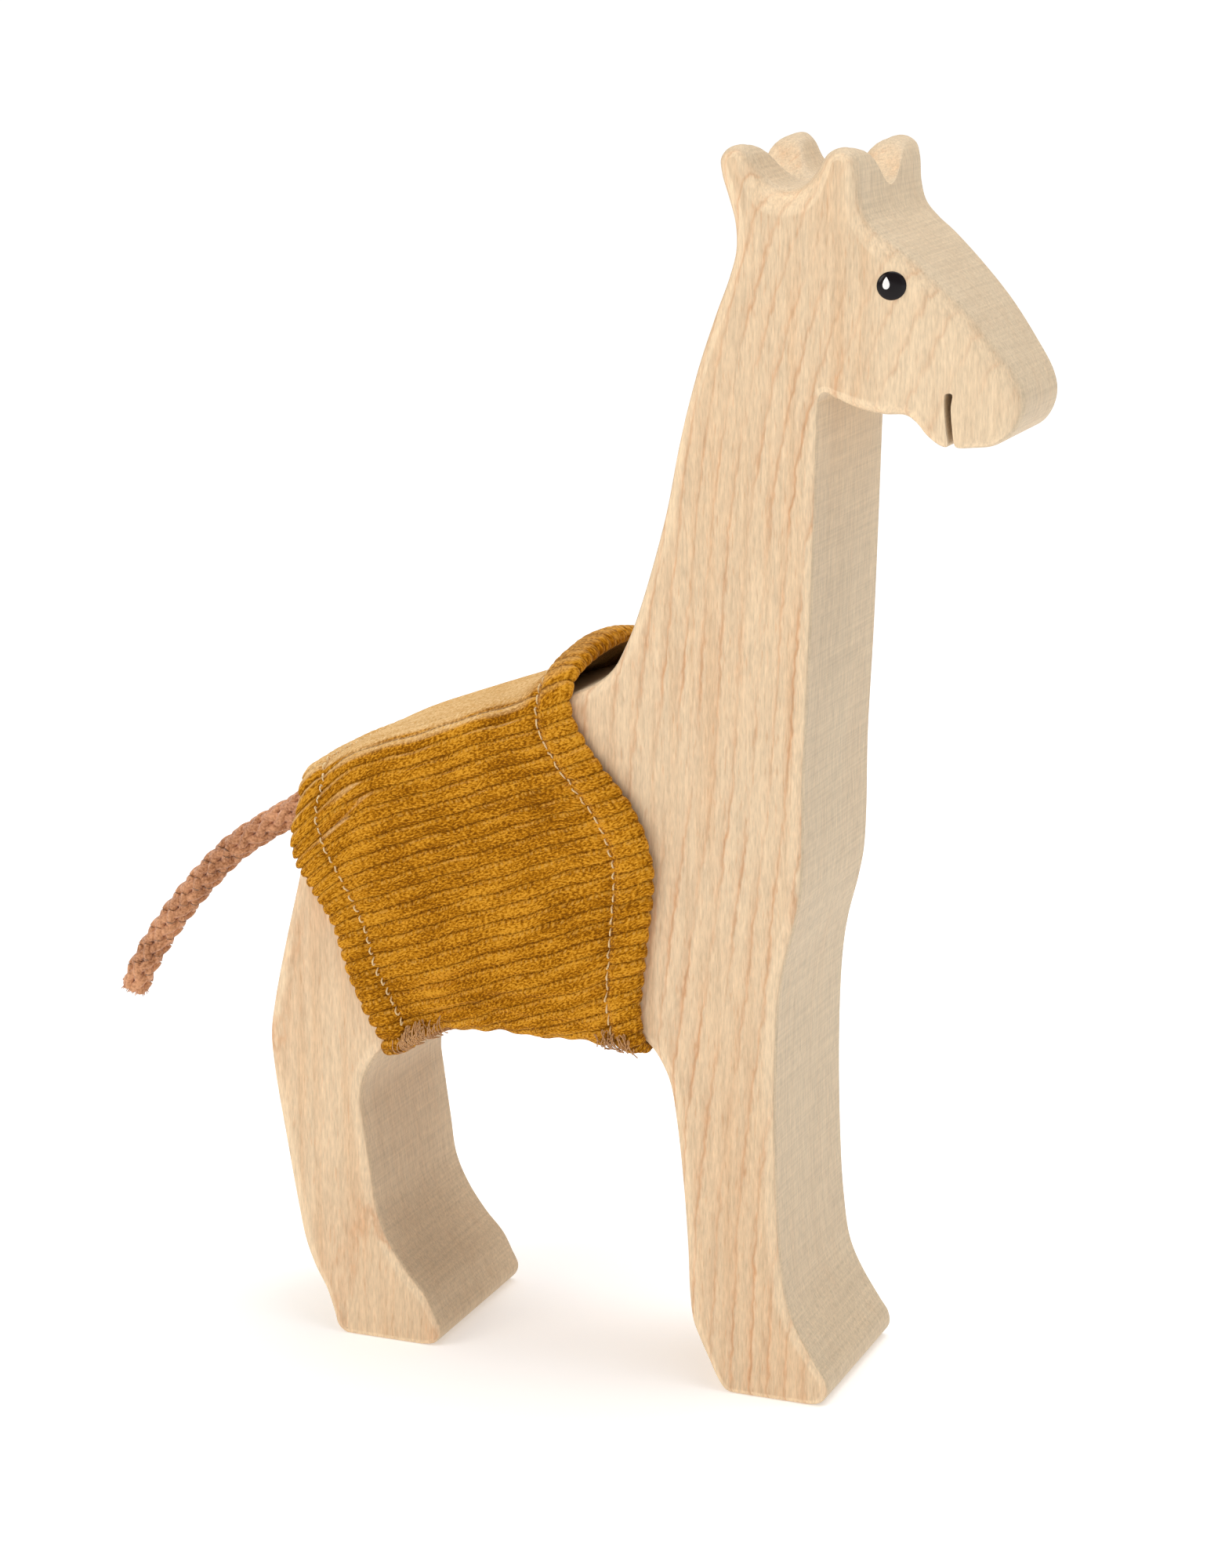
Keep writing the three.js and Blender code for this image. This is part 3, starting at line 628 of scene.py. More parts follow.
@dataclass(frozen=True)
class SpunCotton:
    """Spun cotton yarn or sewing thread: matt, hairy, lighter and darker in small random patches."""

    name: str
    light: str
    dark: str
    grain_mm: float

    def build(self) -> Material:
        """Make the material.

        Returns:
            The material.
        """
        material, tree = blank_material(self.name)
        place = object_place(tree)
        fine = noise(tree, place, (1000.0 / self.grain_mm,) * 3, 3.0)
        broad = noise(tree, place, (160.0,) * 3, 2.0)
        blend = plus(tree, times(tree, fine, 0.65), times(tree, broad, 0.35))
        tone = ramp(tree, blend, [(0.35, self.dark), (0.62, self.light)])
        look = {"Base Color": tone, "Roughness": 0.92, "Specular IOR Level": 0.2}
        hairs = {"Sheen Weight": 0.35, "Sheen Roughness": 0.5}
        finish_with(tree, {**look, **hairs, "Normal": bump(tree, 0.7, 0.0002, fine)})
        return material


@dataclass(frozen=True)
class StudioPaper:
    """Matt white background paper with the faint tooth of its fibres; it glows as painted light, softly
    near the figure and more far off.
    """

    colour: str = "fbfbfb"
    near_glow: float = 0.28
    glow: float = 0.64

    def build(self) -> Material:
        """Make the material.

        Returns:
            The material.
        """
        material, tree = blank_material("studio_paper")
        place = object_place(tree)
        normal = bump(tree, 0.05, 0.0001, noise(tree, place, (900.0,) * 3, 2.0))
        away = add_node(tree, "VectorMath", {0: place}, operation="LENGTH").outputs["Value"]
        far = rescale(tree, away, 0.2, 1.3, self.near_glow, self.glow)
        glow = add_node(tree, "CombineXYZ", {0: far, 1: far, 2: far}).outputs[0]
        look = {"Base Color": linear(self.colour), "Roughness": 0.9, "Normal": normal}
        finish_with(tree, {**look, "Emission Color": glow, "Emission Strength": 1.0})
        return material


# ------------------------------------------------------------------ wooden figure


@dataclass
class SawnFigure:
    """The figure sawn from one plank: legs, body, neck, head, ears and horns in one piece.

    Outline nodes are (x, z, inset, sink) in millimetres: inset is how far the edge's rounding
    reaches into the broad face, and sink how far it reaches down the sawn edge. A node of three
    numbers has the same for both.
    """

    samples: int = 12
    rows_across: int = 22
    taper: float = 0.29
    groove_top: float = 200.2
    groove_depth: float = 6.6
    groove_half: float = 11.5
    cord_hole: float = 2.8
    crown_from: float = 185.0
    outline: np.ndarray = field(init=False)

    # Where the rings of the rounding lie, and how far it is stretched over the face and down.
    EDGE = (0.0, 0.14, 0.28, 0.42, 0.56, 0.7, 0.82, 0.9, 0.95, 0.98, 1.0)
    EDGE_REACH = 0.45
    EDGE_FALL = 0.6

    def front_leg_and_neck(self) -> list[tuple]:
        """Nodes from the front sole up the front of the leg, chest and neck."""
        return [
            (18.8, 0.35, 1.2), (20.7, 0, 1.2), (32.7, 0, 1.2), (34.9, 0.5, 1.3), (36.1, 2.2, 1.4),
            (35.9, 4.2, 1.6), (34.3, 6.7, 1.8), (31.3, 11.6, 2), (29.1, 16.6, 2.1),
            (27.8, 24.6, 2.1), (27.0, 36.3, 2.1), (26.6, 52.6, 2.1), (27.0, 66.4, 2.1),
            (27.9, 73.0, 2.2), (29.5, 79.5, 2.3), (30.4, 84.5, 2.3), (30.7, 91.5, 2.2),
            (30.7, 103.5, 2.1), (31.4, 121.5, 2), (31.9, 140.5, 1.9), (32.2, 155.5, 1.7),
            (32.3, 161, 1.3), (32.5, 162.8, 1.2), (33.3, 163.6, 1.2),
        ]

    def jaw_and_muzzle(self) -> list[tuple]:
        """Nodes along the jaw, round the saw cut of the mouth and up the nose."""
        return [
            (35.1, 162.8, 1.6), (38.6, 161.4, 2.2), (42.4, 160.7, 2.4), (45.5, 160.6, 2.4),
            (47, 159.6, 2.4), (48.7, 157.6, 2.3), (50.4, 156.3, 1.9), (51.6, 156.0, 0.8, 1.0),
            (52.0, 156.4, 0.12, 0.15), (51.7, 158.9, 0.1, 0.12), (51.4, 161.9, 0.1, 0.12),
            (51.45, 163.9, 0.1, 0.12), (51.7, 164.1, 0.1, 0.12), (52.3, 164.1, 0.1, 0.12),
            (52.5, 163.9, 0.1, 0.12), (52.35, 161.9, 0.1, 0.12), (52.6, 158.9, 0.1, 0.12),
            (53.0, 156.4, 0.12, 0.15), (53.4, 155.9, 0.8, 1.0), (55.1, 155.85, 1.9),
            (58.3, 156.2, 2.4), (60.5, 157.6, 2.6), (62.1, 160.1, 2.8), (62.6, 162.7, 3),
            (61.8, 165.6, 3),
        ]

    def forehead_and_horn(self) -> list[tuple]:
        """Nodes up the forehead and over the horn."""
        return [
            (58.7, 170.3, 3), (54.4, 175.8, 3), (49.6, 180.7, 3), (44.3, 185.4, 3),
            (41.1, 187.8, 2.9), (39.1, 190, 2.7, 2.8), (38.2, 193, 2.1, 2.8), (37.9, 196.9, 1.9, 3),
            (37.3, 198.9, 1.8, 3.2), (36.0, 199.85, 1.8, 3.4), (34.5, 200, 1.8, 3.6),
            (32.7, 199.1, 2.1, 4),
        ]

    def crown_and_ear(self) -> list[tuple]:
        """Nodes through the dip between horn and ear and round the ear."""
        return [
            (30.9, 196.4, 3.0, 4.2), (28.9, 194.3, 4.2), (26.5, 193.7, 4.6, 4.2),
            (24.3, 194.3, 4.4, 4.2), (22.3, 196.3, 3.2, 4.2), (20.7, 198.9, 2.1, 4),
            (19.1, 200, 1.8, 3.6), (17.2, 199.6, 1.7, 3.2), (16.0, 198.1, 1.8, 3),
            (16.2, 195.7, 2.0, 2.8), (17.4, 192.2, 2.2, 2.4), (18.5, 188.5, 2.2),
            (18.7, 184.4, 2.1),
        ]

    def nape_and_back(self) -> list[tuple]:
        """Nodes down the nape and along the back."""
        return [
            (17.7, 180.4, 2.1), (15.5, 174.5, 2.1), (12.5, 165.5, 2.1), (9.8, 154.5, 2.1),
            (7.4, 142.5, 2.1), (3.1, 127.6, 2.1), (0.9, 122, 2.1), (-1.1, 118.3, 2), (-4, 115.7, 2),
            (-8.5, 113.6, 2), (-20, 109.4, 2), (-35, 103.9, 2), (-46.5, 99.7, 2),
        ]

    def rump_and_hind_leg(self) -> list[tuple]:
        """Nodes round the rump and down the back of the hind leg to its sole."""
        return [
            (-49.6, 97.7, 2), (-52.6, 94.1, 2), (-54.3, 89.5, 2), (-55.6, 84.0, 2), (-57, 78, 2),
            (-59.6, 67.3, 2), (-61.8, 57.2, 2), (-62.6, 51.5, 2), (-62.1, 45, 2), (-60.2, 33.3, 2),
            (-58.3, 22.2, 2), (-56.9, 15.4, 2), (-55.2, 11.2, 1.8), (-53, 7.3, 1.6),
            (-51.6, 3.4, 1.4), (-50.9, 1.2, 1.3), (-49.2, 0, 1.2),
        ]

    def hind_foot_and_belly(self) -> list[tuple]:
        """Nodes from the hind sole up inside the leg, along the belly and down to the heel."""
        return [
            (-35.5, 0, 1.2), (-33, 0.6, 1.3), (-31.9, 2.6, 1.4), (-33.1, 5.6, 1.6),
            (-34.7, 8.7, 1.8), (-37.8, 12.3, 2), (-41.1, 17, 2), (-43.3, 22, 2), (-44.3, 28.7, 2),
            (-45.5, 37.4, 2), (-46, 42, 2), (-45.3, 46, 2), (-43.2, 49.6, 2), (-40, 52.6, 2),
            (-36, 55.6, 2), (-31, 57.8, 2), (-24, 58.5, 2), (-5, 58.5, 2), (1.5, 58.5, 2),
            (3.9, 58.1, 2), (5.7, 56.7, 2), (7.3, 54.4, 2), (8.7, 51.2, 2), (9.9, 44.5, 2),
            (11.2, 32.8, 2), (11.9, 23.4, 2), (12.3, 15.4, 2), (12.9, 11.4, 1.9), (14.3, 8.2, 1.7),
            (15.9, 5, 1.5), (17.2, 2.4, 1.3),
        ]

    def __post_init__(self) -> None:
        """Sample the outline, and keep its soles flat on the floor."""
        nodes = self.front_leg_and_neck() + self.jaw_and_muzzle() + self.forehead_and_horn()
        nodes += self.crown_and_ear() + self.nape_and_back() + self.rump_and_hind_leg()
        nodes += self.hind_foot_and_belly()
        whole = [(x, z, inset, sink[0] if sink else inset) for x, z, inset, *sink in nodes]
        self.outline = curve_through(np.array(whole, dtype=float), self.samples, True)
        self.outline[:, 1] = np.maximum(self.outline[:, 1], 0)

    def ahead(self, x: np.ndarray, z: np.ndarray) -> np.ndarray:
        """Distance ahead of the straight line on which the cheeks start, 0 below the jaw."""
        jaw, horn = np.array([39.6, 161.1]), np.array([38.6, 190.2])
        line = (horn - jaw) / np.linalg.norm(horn - jaw)
        distance = (x - jaw[0]) * line[1] - (z - jaw[1]) * line[0]
        return np.where(z > THROAT_Z - 10, np.maximum(distance, 0), 0)

    def half_thickness(self, x: np.ndarray, z: np.ndarray) -> np.ndarray:
        """Half the plank, less the taper of the cheeks, which sets in over the first 4 mm."""
        loss = [0, 0.2, 0.6, 0.6 + 36 * self.taper]
        return HALF_PLANK - np.interp(self.ahead(x, z), [0, 2, 4, 40], loss)

    def surface(self) -> np.ndarray:
        """All rings of the figure's skin from the right face's rim to the left face's.

        Ring t lies inset (1 - t) inside the outline and sink (0.62 t^2.4) under the face, with
        a last small turn down to the sawn edge, as hand sanding leaves it; the head's edges
        lean over t^1.6 into a quarter round, 1 - sqrt(1 - t^2), instead. Between the two
        roundings the rings cross the plank's thickness. The crown is cut down to a rounded
        trough along X: z = smooth minimum of z and top - depth (1 + cos(pi y / half)) / 2.

        Returns:
            (rings, samples, 3) array in millimetres.
        """
        x, z, inset, sink = self.outline.T
        dx, dz = (np.roll(a, -1) - np.roll(a, 1) for a in (x, z))
        size = np.hypot(dx, dz) + 1e-9
        nx, nz = dz / size, -dx / size
        t = np.array(self.EDGE)[:, None]
        legs_and_neck = smoothstep(z, 6, 14) * (1 - smoothstep(z, 148, 156))
        reach = inset * (1 + self.EDGE_REACH * legs_and_neck)
        rx = x - nx * reach * (1 - t)
        rz = z - nz * reach * (1 - t)
        head = smoothstep(z, 157, 165)
        crisp = 0.62 * t**2.4 + 0.38 * smoothstep(t, 0.9, 1.0)
        round_over = 0.3 * t**1.6 + 0.7 * (1 - np.sqrt(1 - t**2))
        fall = crisp + (round_over - crisp) * head
        depth = self.half_thickness(rx, rz) - sink * (self.EDGE_FALL + 0.15 * head) * fall
        share = np.linspace(-1, 1, self.rows_across + 2)[1:-1, None]
        across = share * depth[-1]
        rows = [np.stack([rx, -depth, rz], axis=-1)]
        wide_x, wide_z = (np.broadcast_to(a, across.shape) for a in (x, z))
        middle = np.stack([wide_x, across, wide_z], axis=-1)
        rows += [middle, np.stack([rx, depth, rz], axis=-1)[::-1]]
        skin = np.concatenate(rows)
        reach = np.clip(np.abs(skin[..., 1]) / self.groove_half, 0, 1)
        trough = self.groove_top - self.groove_depth * (1 + np.cos(np.pi * reach)) / 2
        trough = trough + 6 * smoothstep(np.abs(skin[..., 1]), self.groove_half, HALF_PLANK - 1)
        lowered = smooth_minimum(skin[..., 2], trough, 1.2)
        skin[..., 2] = np.where(skin[..., 2] > self.crown_from, lowered, skin[..., 2])
        return skin

    def face_loops(self, rim: np.ndarray) -> list[list[int]]:
        """Split a broad face into flat strips that meet on the lines where the taper changes.

        Args:
            rim: (samples, 3) first ring.

        Returns:
            Loops of sample numbers, anticlockwise in X and Z.
        """
        count = len(rim)
        distance = self.ahead(rim[:, 0], rim[:, 2])
        cuts = []
        for knot in (0.05, 2, 4):
            inside = np.flatnonzero(distance >= knot)
            cuts.append((int(inside[0]), int(inside[-1])))
        first, last = cuts[0]
        loops = [list(range(last, count)) + list(range(0, first + 1))]
        for (a, b), (c, d) in zip(cuts, cuts[1:]):
            loops.append(list(range(a, c + 1)) + list(range(d, b + 1)))
        loops.append(list(range(cuts[-1][0], cuts[-1][1] + 1)))
        return loops

    def build(self, material: Material) -> Piece:
        """Make the figure and drill the tail's hole.

        Args:
            material: the wood.

        Returns:
            The wooden figure.
        """
        skin = self.surface()
        rings, count, _ = skin.shape
        quads, _ = grid_quads(rings, count, False, True)
        loops = self.face_loops(skin[0])
        offset = (rings - 1) * count
        faces = quads.tolist() + loops + [[i + offset for i in reversed(loop)] for loop in loops]
        piece = build_piece("sawn_figure", skin.reshape(-1, 3), faces, material, "hardwood")
        self._drill(piece, material)
        piece.modifiers.new("face_normals", "WEIGHTED_NORMAL").keep_sharp = True
        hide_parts("wooden_body")
        return piece

    def _drill(self, piece: Piece, material: Material) -> None:
        """Cut the blind hole for the cord with a round cutter along the cord's first run."""
        start, along = CordTail.hole_axis()
        around = 48
        centres = start + np.array([-16.0, 1.0])[:, None] * along
        ring = self.cord_hole * spokes(along, full_turn(around))
        vertices = (centres[:, None] + ring[None]).reshape(-1, 3)
        quads, _ = grid_quads(2, around, False, True)
        faces = quads.tolist() + [list(range(around)), list(reversed(range(around, 2 * around)))]
        mesh = bpy.data.meshes.new("drill")
        mesh.from_pydata((vertices * MM).tolist(), [], faces)
        mesh.materials.append(material)
        shape = bmesh.new()
        shape.from_mesh(mesh)
        bmesh.ops.recalc_face_normals(shape, faces=shape.faces)
        shape.to_mesh(mesh)
        shape.free()
        cutter = bpy.data.objects.new("drill", mesh)
        bpy.context.collection.objects.link(cutter)
        cut = piece.modifiers.new("tail_hole", "BOOLEAN")
        cut.object = cutter
        cut.solver = "EXACT"
        graph = bpy.context.evaluated_depsgraph_get()
        drilled = bpy.data.meshes.new_from_object(piece.evaluated_get(graph))
        piece.modifiers.clear()
        piece.data = drilled
        bpy.data.objects.remove(cutter)


# ------------------------------------------------------------------ eyes


@dataclass
class PaintedEyes:
    """Two black drops of paint with a white glint on each, one pair to a cheek."""

    figure: SawnFigure
    radius: float = 2.15
    height: float = 0.55
    centre: tuple[float, float] = (43.5, 180.1)
    glint: tuple[float, float] = (-0.62, 0.45)
    glint_size: tuple[float, float] = (0.66, 0.92)

    def build(self, black: Material, white: Material) -> list[Piece]:
        """Make both eyes and both glints.

        Args:
            black: the eye's paint.
            white: the glint's paint.

        Returns:
            The four pieces.
        """
        pieces = []
        for side, word in ((Side.RIGHT, "right"), (Side.LEFT, "left")):
            eye = build_piece(f"eye_drop_{word}", *self._dome(side), black, "eye_paint")
            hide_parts(f"eye_{word}")
            spot = build_piece(f"eye_glint_paint_{word}", *self._teardrop(side), white, "glint_paint")
            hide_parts(f"eye_glint_{word}")
            pieces += [eye, spot]
        return pieces

    def _on_cheek(self, u: np.ndarray, v: np.ndarray, lift: np.ndarray, side: Side) -> np.ndarray:
        """Carry (u forward, v up, lift off the wood) to the cheek on one side."""
        x, z = self.centre[0] + u, self.centre[1] + v
        y = side.value * (self.figure.half_thickness(x, z) + lift)
        return np.stack([x, y, z], axis=-1).reshape(-1, 3)

    def _lift(self, r: np.ndarray) -> np.ndarray:
        """Height of the drop at r of its radius: a flattened dome, h (1 - r^3.2)^0.62."""
        return self.height * np.power(np.maximum(1 - r**3.2, 0), 0.62)

    def _dome(self, side: Side) -> tuple[np.ndarray, list]:
        """The eye: rings of the dome from its rim to its pole, closed by a flat back."""
        rings, around = 14, 64
        r = np.sin(np.linspace(np.pi / 2, 0, rings, endpoint=False))[:, None]
        turn = full_turn(around)[None]
        u, v = self.radius * r * np.cos(turn), self.radius * r * np.sin(turn)
        lift = np.broadcast_to(self._lift(r), u.shape)
        pole = self._on_cheek(np.zeros(1), np.zeros(1), np.array([self.height]), side)
        sunk = self._on_cheek(u[:1], v[:1], np.full((1, around), -0.3), side)
        vertices = np.vstack([sunk, self._on_cheek(u, v, lift, side), pole])
        return vertices, self._drop_faces(rings, around, side is Side.LEFT)

    def _teardrop(self, side: Side) -> tuple[np.ndarray, list]:
        """The glint: a drop with its point up, lying on the dome.

        Its outline is x = w sin t (sin(t / 2))^0.9, z = h cos t.
        """
        rings, around = 6, 40
        turn = full_turn(around)[None]
        w, h = self.glint_size
        shape_u = w * np.sin(turn) * np.abs(np.sin(turn / 2)) ** 0.9
        shape_v = h * np.cos(turn)
        r = np.linspace(1, 0, rings, endpoint=False)[:, None]
        u, v = self.glint[0] + r * shape_u, self.glint[1] + r * shape_v
        over = self._lift(np.hypot(u, v) / self.radius) + 0.02 + 0.05 * np.sqrt(1 - r**2)
        middle = np.array(self.glint)[:, None]
        pole = self._on_cheek(middle[0], middle[1], over[-1:, 0] + 0.005, side)
        rim = self._lift(np.hypot(u[:1], v[:1]) / self.radius)
        under = self._on_cheek(u[:1], v[:1], rim - 0.05, side)
        vertices = np.vstack([under, self._on_cheek(u, v, over, side), pole])
        return vertices, self._drop_faces(rings, around, side is Side.RIGHT)

    def _drop_faces(self, rings: int, around: int, reverse: bool) -> list:
        """Faces of a drop: a flat back, its rings and the fan at its pole."""
        quads, _ = grid_quads(rings + 1, around, False, True)
        last = rings * around
        fan = [[last + k, last + (k + 1) % around, (rings + 1) * around] for k in range(around)]
        faces = [face[::-1] for face in quads.tolist()] + fan + [list(reversed(range(around)))]
        return [face[::-1] for face in faces] if reverse else faces


# ------------------------------------------------------------------ corduroy cover


@dataclass
class CorduroySleeve:
    """The cover: a sleeve of corduroy round the barrel, hemmed front and rear.

    s runs once round the girth from the middle of the back over the left side, and t from
    the rear hem to the front hem.
    """

    pitch: float = 2.5
    girth_samples: int = 560
    rows: int = 118
    lining_rows: int = 20
    rim_rows: int = 5
    cloth: float = 1.5
    rib_height: float = 0.4
    half: float = 18.6
    corner: float = 3.4
    arch_height: float = 5.0
    crown_height: float = 1.3
    flare_height: float = 1.3
    scallop: float = 0.34
    rolled_in: float = 0.9
    length: float = 55.0
    front_hem: np.ndarray = field(
        default_factory=lambda: np.array(
            [
                (0, 3.9), (0.08, 3.4), (0.18, 4.0), (0.3, 4.7), (0.42, 5.6), (0.5, 5.7), (0.58, 4.4),
                (0.66, 2.1), (0.72, -0.2), (0.79, -3.0), (0.88, -6.0), (0.95, -7.9), (1, -8.6),
            ]
        )
    )
    rear_hem: np.ndarray = field(
        default_factory=lambda: np.array(
            [
                (0, -40.6), (0.1, -42.6), (0.18, -44.2), (0.27, -46.2), (0.45, -48.6), (0.6, -52.2),
                (0.75, -55.2), (0.85, -56.3), (0.93, -56.2), (1, -54.9),
            ]
        )
    )

    REAR_STITCH = 4.9
    FRONT_STITCH = 5.6
    # Each crease: x and z of its middle, slope, reach, depth and width.
    CREASES = (
        (-27.0, 60.3, 0.3, 7.0, 1.3, 0.9),
        (-17.0, 60.0, -0.14, 7.0, 0.9, 0.8),
        (-36.0, 55.4, 0.6, 4.0, 1.0, 0.9),
        (-31.0, 64.5, 0.35, 5.0, 0.6, 1.1),
        (-6.0, 59.8, -0.08, 7.0, 0.8, 0.8),
        (-22.0, 63.2, 0.1, 6.0, 0.6, 0.9),
        (-12.0, 63.5, 0.12, 7.0, 0.35, 1.0),
        (-47.5, 91.0, 0.95, 4.5, 0.8, 1.2),
        (-3.0, 66.0, 0.5, 5.0, 0.6, 1.1),
        (-8.0, 100.0, 0.9, 6.0, 0.4, 1.4),
    )

    def section(self) -> tuple[np.ndarray, np.ndarray, np.ndarray, np.ndarray]:
        """The sleeve's section by equal steps along its girth.

        A rounded rectangle. Each sample has its y, the share of the height from belly to back,
        what the corner's rounding takes off that height, and the length of cloth between it
        and the middle of the back without the flat side.

        Returns:
            y, share, lift and girth, each (girth samples,).
        """
        flat, quarter = self.half - self.corner, self.corner * np.pi / 2
        knots = [(y, 1.0, 0.0, y) for y in np.linspace(0, flat, 24)]
        for turn in np.linspace(0, np.pi / 2, 12)[1:]:
            lift = -self.corner * (1 - np.cos(turn))
            knots.append((flat + self.corner * np.sin(turn), 1.0, lift, flat + self.corner * turn))
        for share in np.linspace(1, 0, 60)[1:]:
            knots.append((self.half, share, self.corner * (1 - 2 * share), flat + quarter))
        for turn in np.linspace(np.pi / 2, 0, 12)[1:]:
            lift = self.corner * (1 - np.cos(turn))
            girth = flat + 2 * quarter - self.corner * turn
            knots.append((flat + self.corner * np.sin(turn), 0.0, lift, girth))
        for y in np.linspace(flat, 0, 24)[1:]:
            knots.append((y, 0.0, 0.0, 2 * (flat + quarter) - y))
        half = np.array(knots)
        loop = np.vstack([half, half[::-1][1:] * [-1, 1, 1, 1]])
        z = 44.0 * loop[:, 1] + loop[:, 2]
        length = distance_along(np.stack([loop[:, 0], z], axis=-1))
        even = np.linspace(0, length[-1], self.girth_samples, endpoint=False)
        return tuple(np.interp(even, length, loop[:, k]) for k in range(4))

    def ribs(self, x: np.ndarray, share: np.ndarray, girth: np.ndarray) -> np.ndarray:
        """Number of ribs between the middle of the back and a point, along the cloth at its x.

        The ribs lie parallel to the back; near the rear hem the pulled hem bends them down.
        """
        side = self.back_line(x) - self.belly_line(x) - 2 * self.corner
        bend = 2.2 * (1 - smoothstep(x, -56, -43)) * smoothstep(share, 0.15, 0.6)
        bend = bend * smoothstep(girth, 10, 17)
        wander = 0.16 * np.sin(x * 0.31 + share * 9) + 0.1 * np.sin(x * 0.83 - share * 23)
        return (girth + (1 - share) * side - bend + wander) / self.pitch

    def relief(self, phase: np.ndarray) -> np.ndarray:
        """0 in a furrow and 1 on a rib, by 1 - |2 p - 1|^3 of the phase p."""
        return 1 - np.abs(2 * (phase - np.floor(phase)) - 1) ** 3

    def back_line(self, x: np.ndarray) -> np.ndarray:
        """Height of the cloth over the back: the wood's slope, dropping behind the hips."""
        over_rump = np.maximum(0, -46.5 - x)
        return 101.5 + (x + 46.5) * 0.366 - 0.035 * over_rump**2

    def belly_line(self, x: np.ndarray) -> np.ndarray:
        """Height of the cloth under the belly, which follows the wood into the hind leg."""
        stations = [-44, -42, -40, -38, -36, -33, -30, -26, -22, 0, 1.5, 3.9, 5.6]
        heights = [47.6, 49.2, 50.6, 52.0, 53.1, 54.8, 55.7, 56.3, 56.5, 56.5, 56.4, 55.7, 54.4]
        return np.interp(x, stations, heights)

    def surface(self, outset: float, rows: int, ribbed: bool) -> np.ndarray:
        """Points of the cloth's outer or inner skin.

        x runs between the two hems; z = belly + (back - belly) share + lift; the front hem
        stands off the withers in an arch; creases and slack add a push along the normal.

        Args:
            outset: millimetres outside the middle skin, negative for the lining.
            rows: rows from the rear hem to the front hem.
            ribbed: whether the ribs' relief is added.

        Returns:
            (rows, girth samples, 3) array in millimetres.
        """
        y, share, lift, girth = self.section()
        t = np.linspace(0, 1, rows)[:, None]
        middle = 1 - np.clip(np.abs(y) / self.half, 0, 1) ** 2
        front = np.interp(share, *self.front_hem.T)
        rear = np.interp(share, *self.rear_hem.T) - 0.6 * middle * (share > 0.99)
        front = front + self.scallop * self.relief(self.ribs(front, share, girth)) - 0.2
        rear = rear - self.scallop * self.relief(self.ribs(rear, share, girth)) + 0.2
        x = rear + (front - rear) * t
        share2, y2, lift2, middle2 = (np.broadcast_to(a, x.shape) for a in (share, y, lift, middle))
        low, high = self.belly_line(x), self.back_line(x)
        z = low + (high - low) * share2 + lift2
        rise = smoothstep(x, -17.5, -11.0)
        arch = self.arch_height * rise * middle2**0.62 * share2**6
        crown = self.crown_height * middle2 * share2**6 * smoothstep(x, -52, -40)
        flare = self.flare_height * middle2**0.5 * share2**8 * (1 - smoothstep(x, -55, -50.5))
        z = z + arch + crown * (1 - rise) + flare
        points = np.stack([x, y2, z], axis=-1)
        push = self._slack(x, y2, z, share2) + outset
        if ribbed:
            phase = self.ribs(x, share2, girth)
            flat_rib = 0.12 * np.sin(phase.round() * 5.1 + x * 0.4)
            push = push + (self.rib_height + flat_rib) * (self.relief(phase) - 0.5)
            push = push + self._hem(t, x.shape, share2)
        else:
            push = push - self.rolled_in * rise * middle2 * share2**6
        return points + self._normals(points) * push[..., None]

    def _hem(self, t: np.ndarray, shape: tuple, share: np.ndarray) -> np.ndarray:
        """Thickness of the turned hems, with a dent where the stitches pull the cloth in."""
        from_rear, from_front = t * self.length, (1 - t) * self.length
        edge = np.minimum(from_rear, from_front)
        fold = 0.6 * smoothstep(6.5 - edge, 0, 1.5)
        width = np.where(from_rear < from_front, self.REAR_STITCH, self.FRONT_STITCH)
        dent = -0.75 * np.exp(-(((edge - width) / 0.9) ** 2))
        rolled = -0.35 * smoothstep(1.4 - edge, 0, 1.4)
        return np.broadcast_to(fold + dent + rolled, shape)

    def _slack(self, x: np.ndarray, y: np.ndarray, z: np.ndarray, share: np.ndarray) -> np.ndarray:
        """Where the cloth stands off or wrinkles: soft swells and creases near the belly.

        Each crease is a valley between two ridges along a straight line, -depth exp(-d^2) and
        the same raised either side, faded out past its ends; the wood stops it going deeper.
        """
        side = np.clip(1 - (np.abs(share - 0.5) * 2) ** 8, 0, 1)
        swell = 0.35 * np.sin(x * 0.13 + z * 0.05) * np.sin(z * 0.11 + 0.8 + np.sign(y) * 0.6)
        push = (0.35 + swell) * side
        for x0, z0, slope, reach, depth, width in self.CREASES:
            distance = ((z - z0) - slope * (x - x0)) / width
            fade_out = np.exp(-(((x - x0) / reach) ** 2))
            valley = -depth * np.exp(-(distance**2))
            above = 1.1 * depth * np.exp(-((distance - 1.6) ** 2))
            below = 0.7 * depth * np.exp(-((distance + 1.6) ** 2))
            push = push + (valley + above + below) * fade_out * side
        edge = 0.3 * np.sin(x * 0.9 + 1.0) * np.sin(x * 0.37) * (share < 0.02)
        return np.maximum(push, -0.1) + edge

    def _normals(self, points: np.ndarray) -> np.ndarray:
        """Outward normals of a (rows, girth) grid that closes round the girth."""
        along = np.gradient(points, axis=0)
        round_ = np.roll(points, -1, axis=1) - np.roll(points, 1, axis=1)
        normal = np.cross(along, round_)
        normal /= np.linalg.norm(normal, axis=-1, keepdims=True) + 1e-9
        return normal

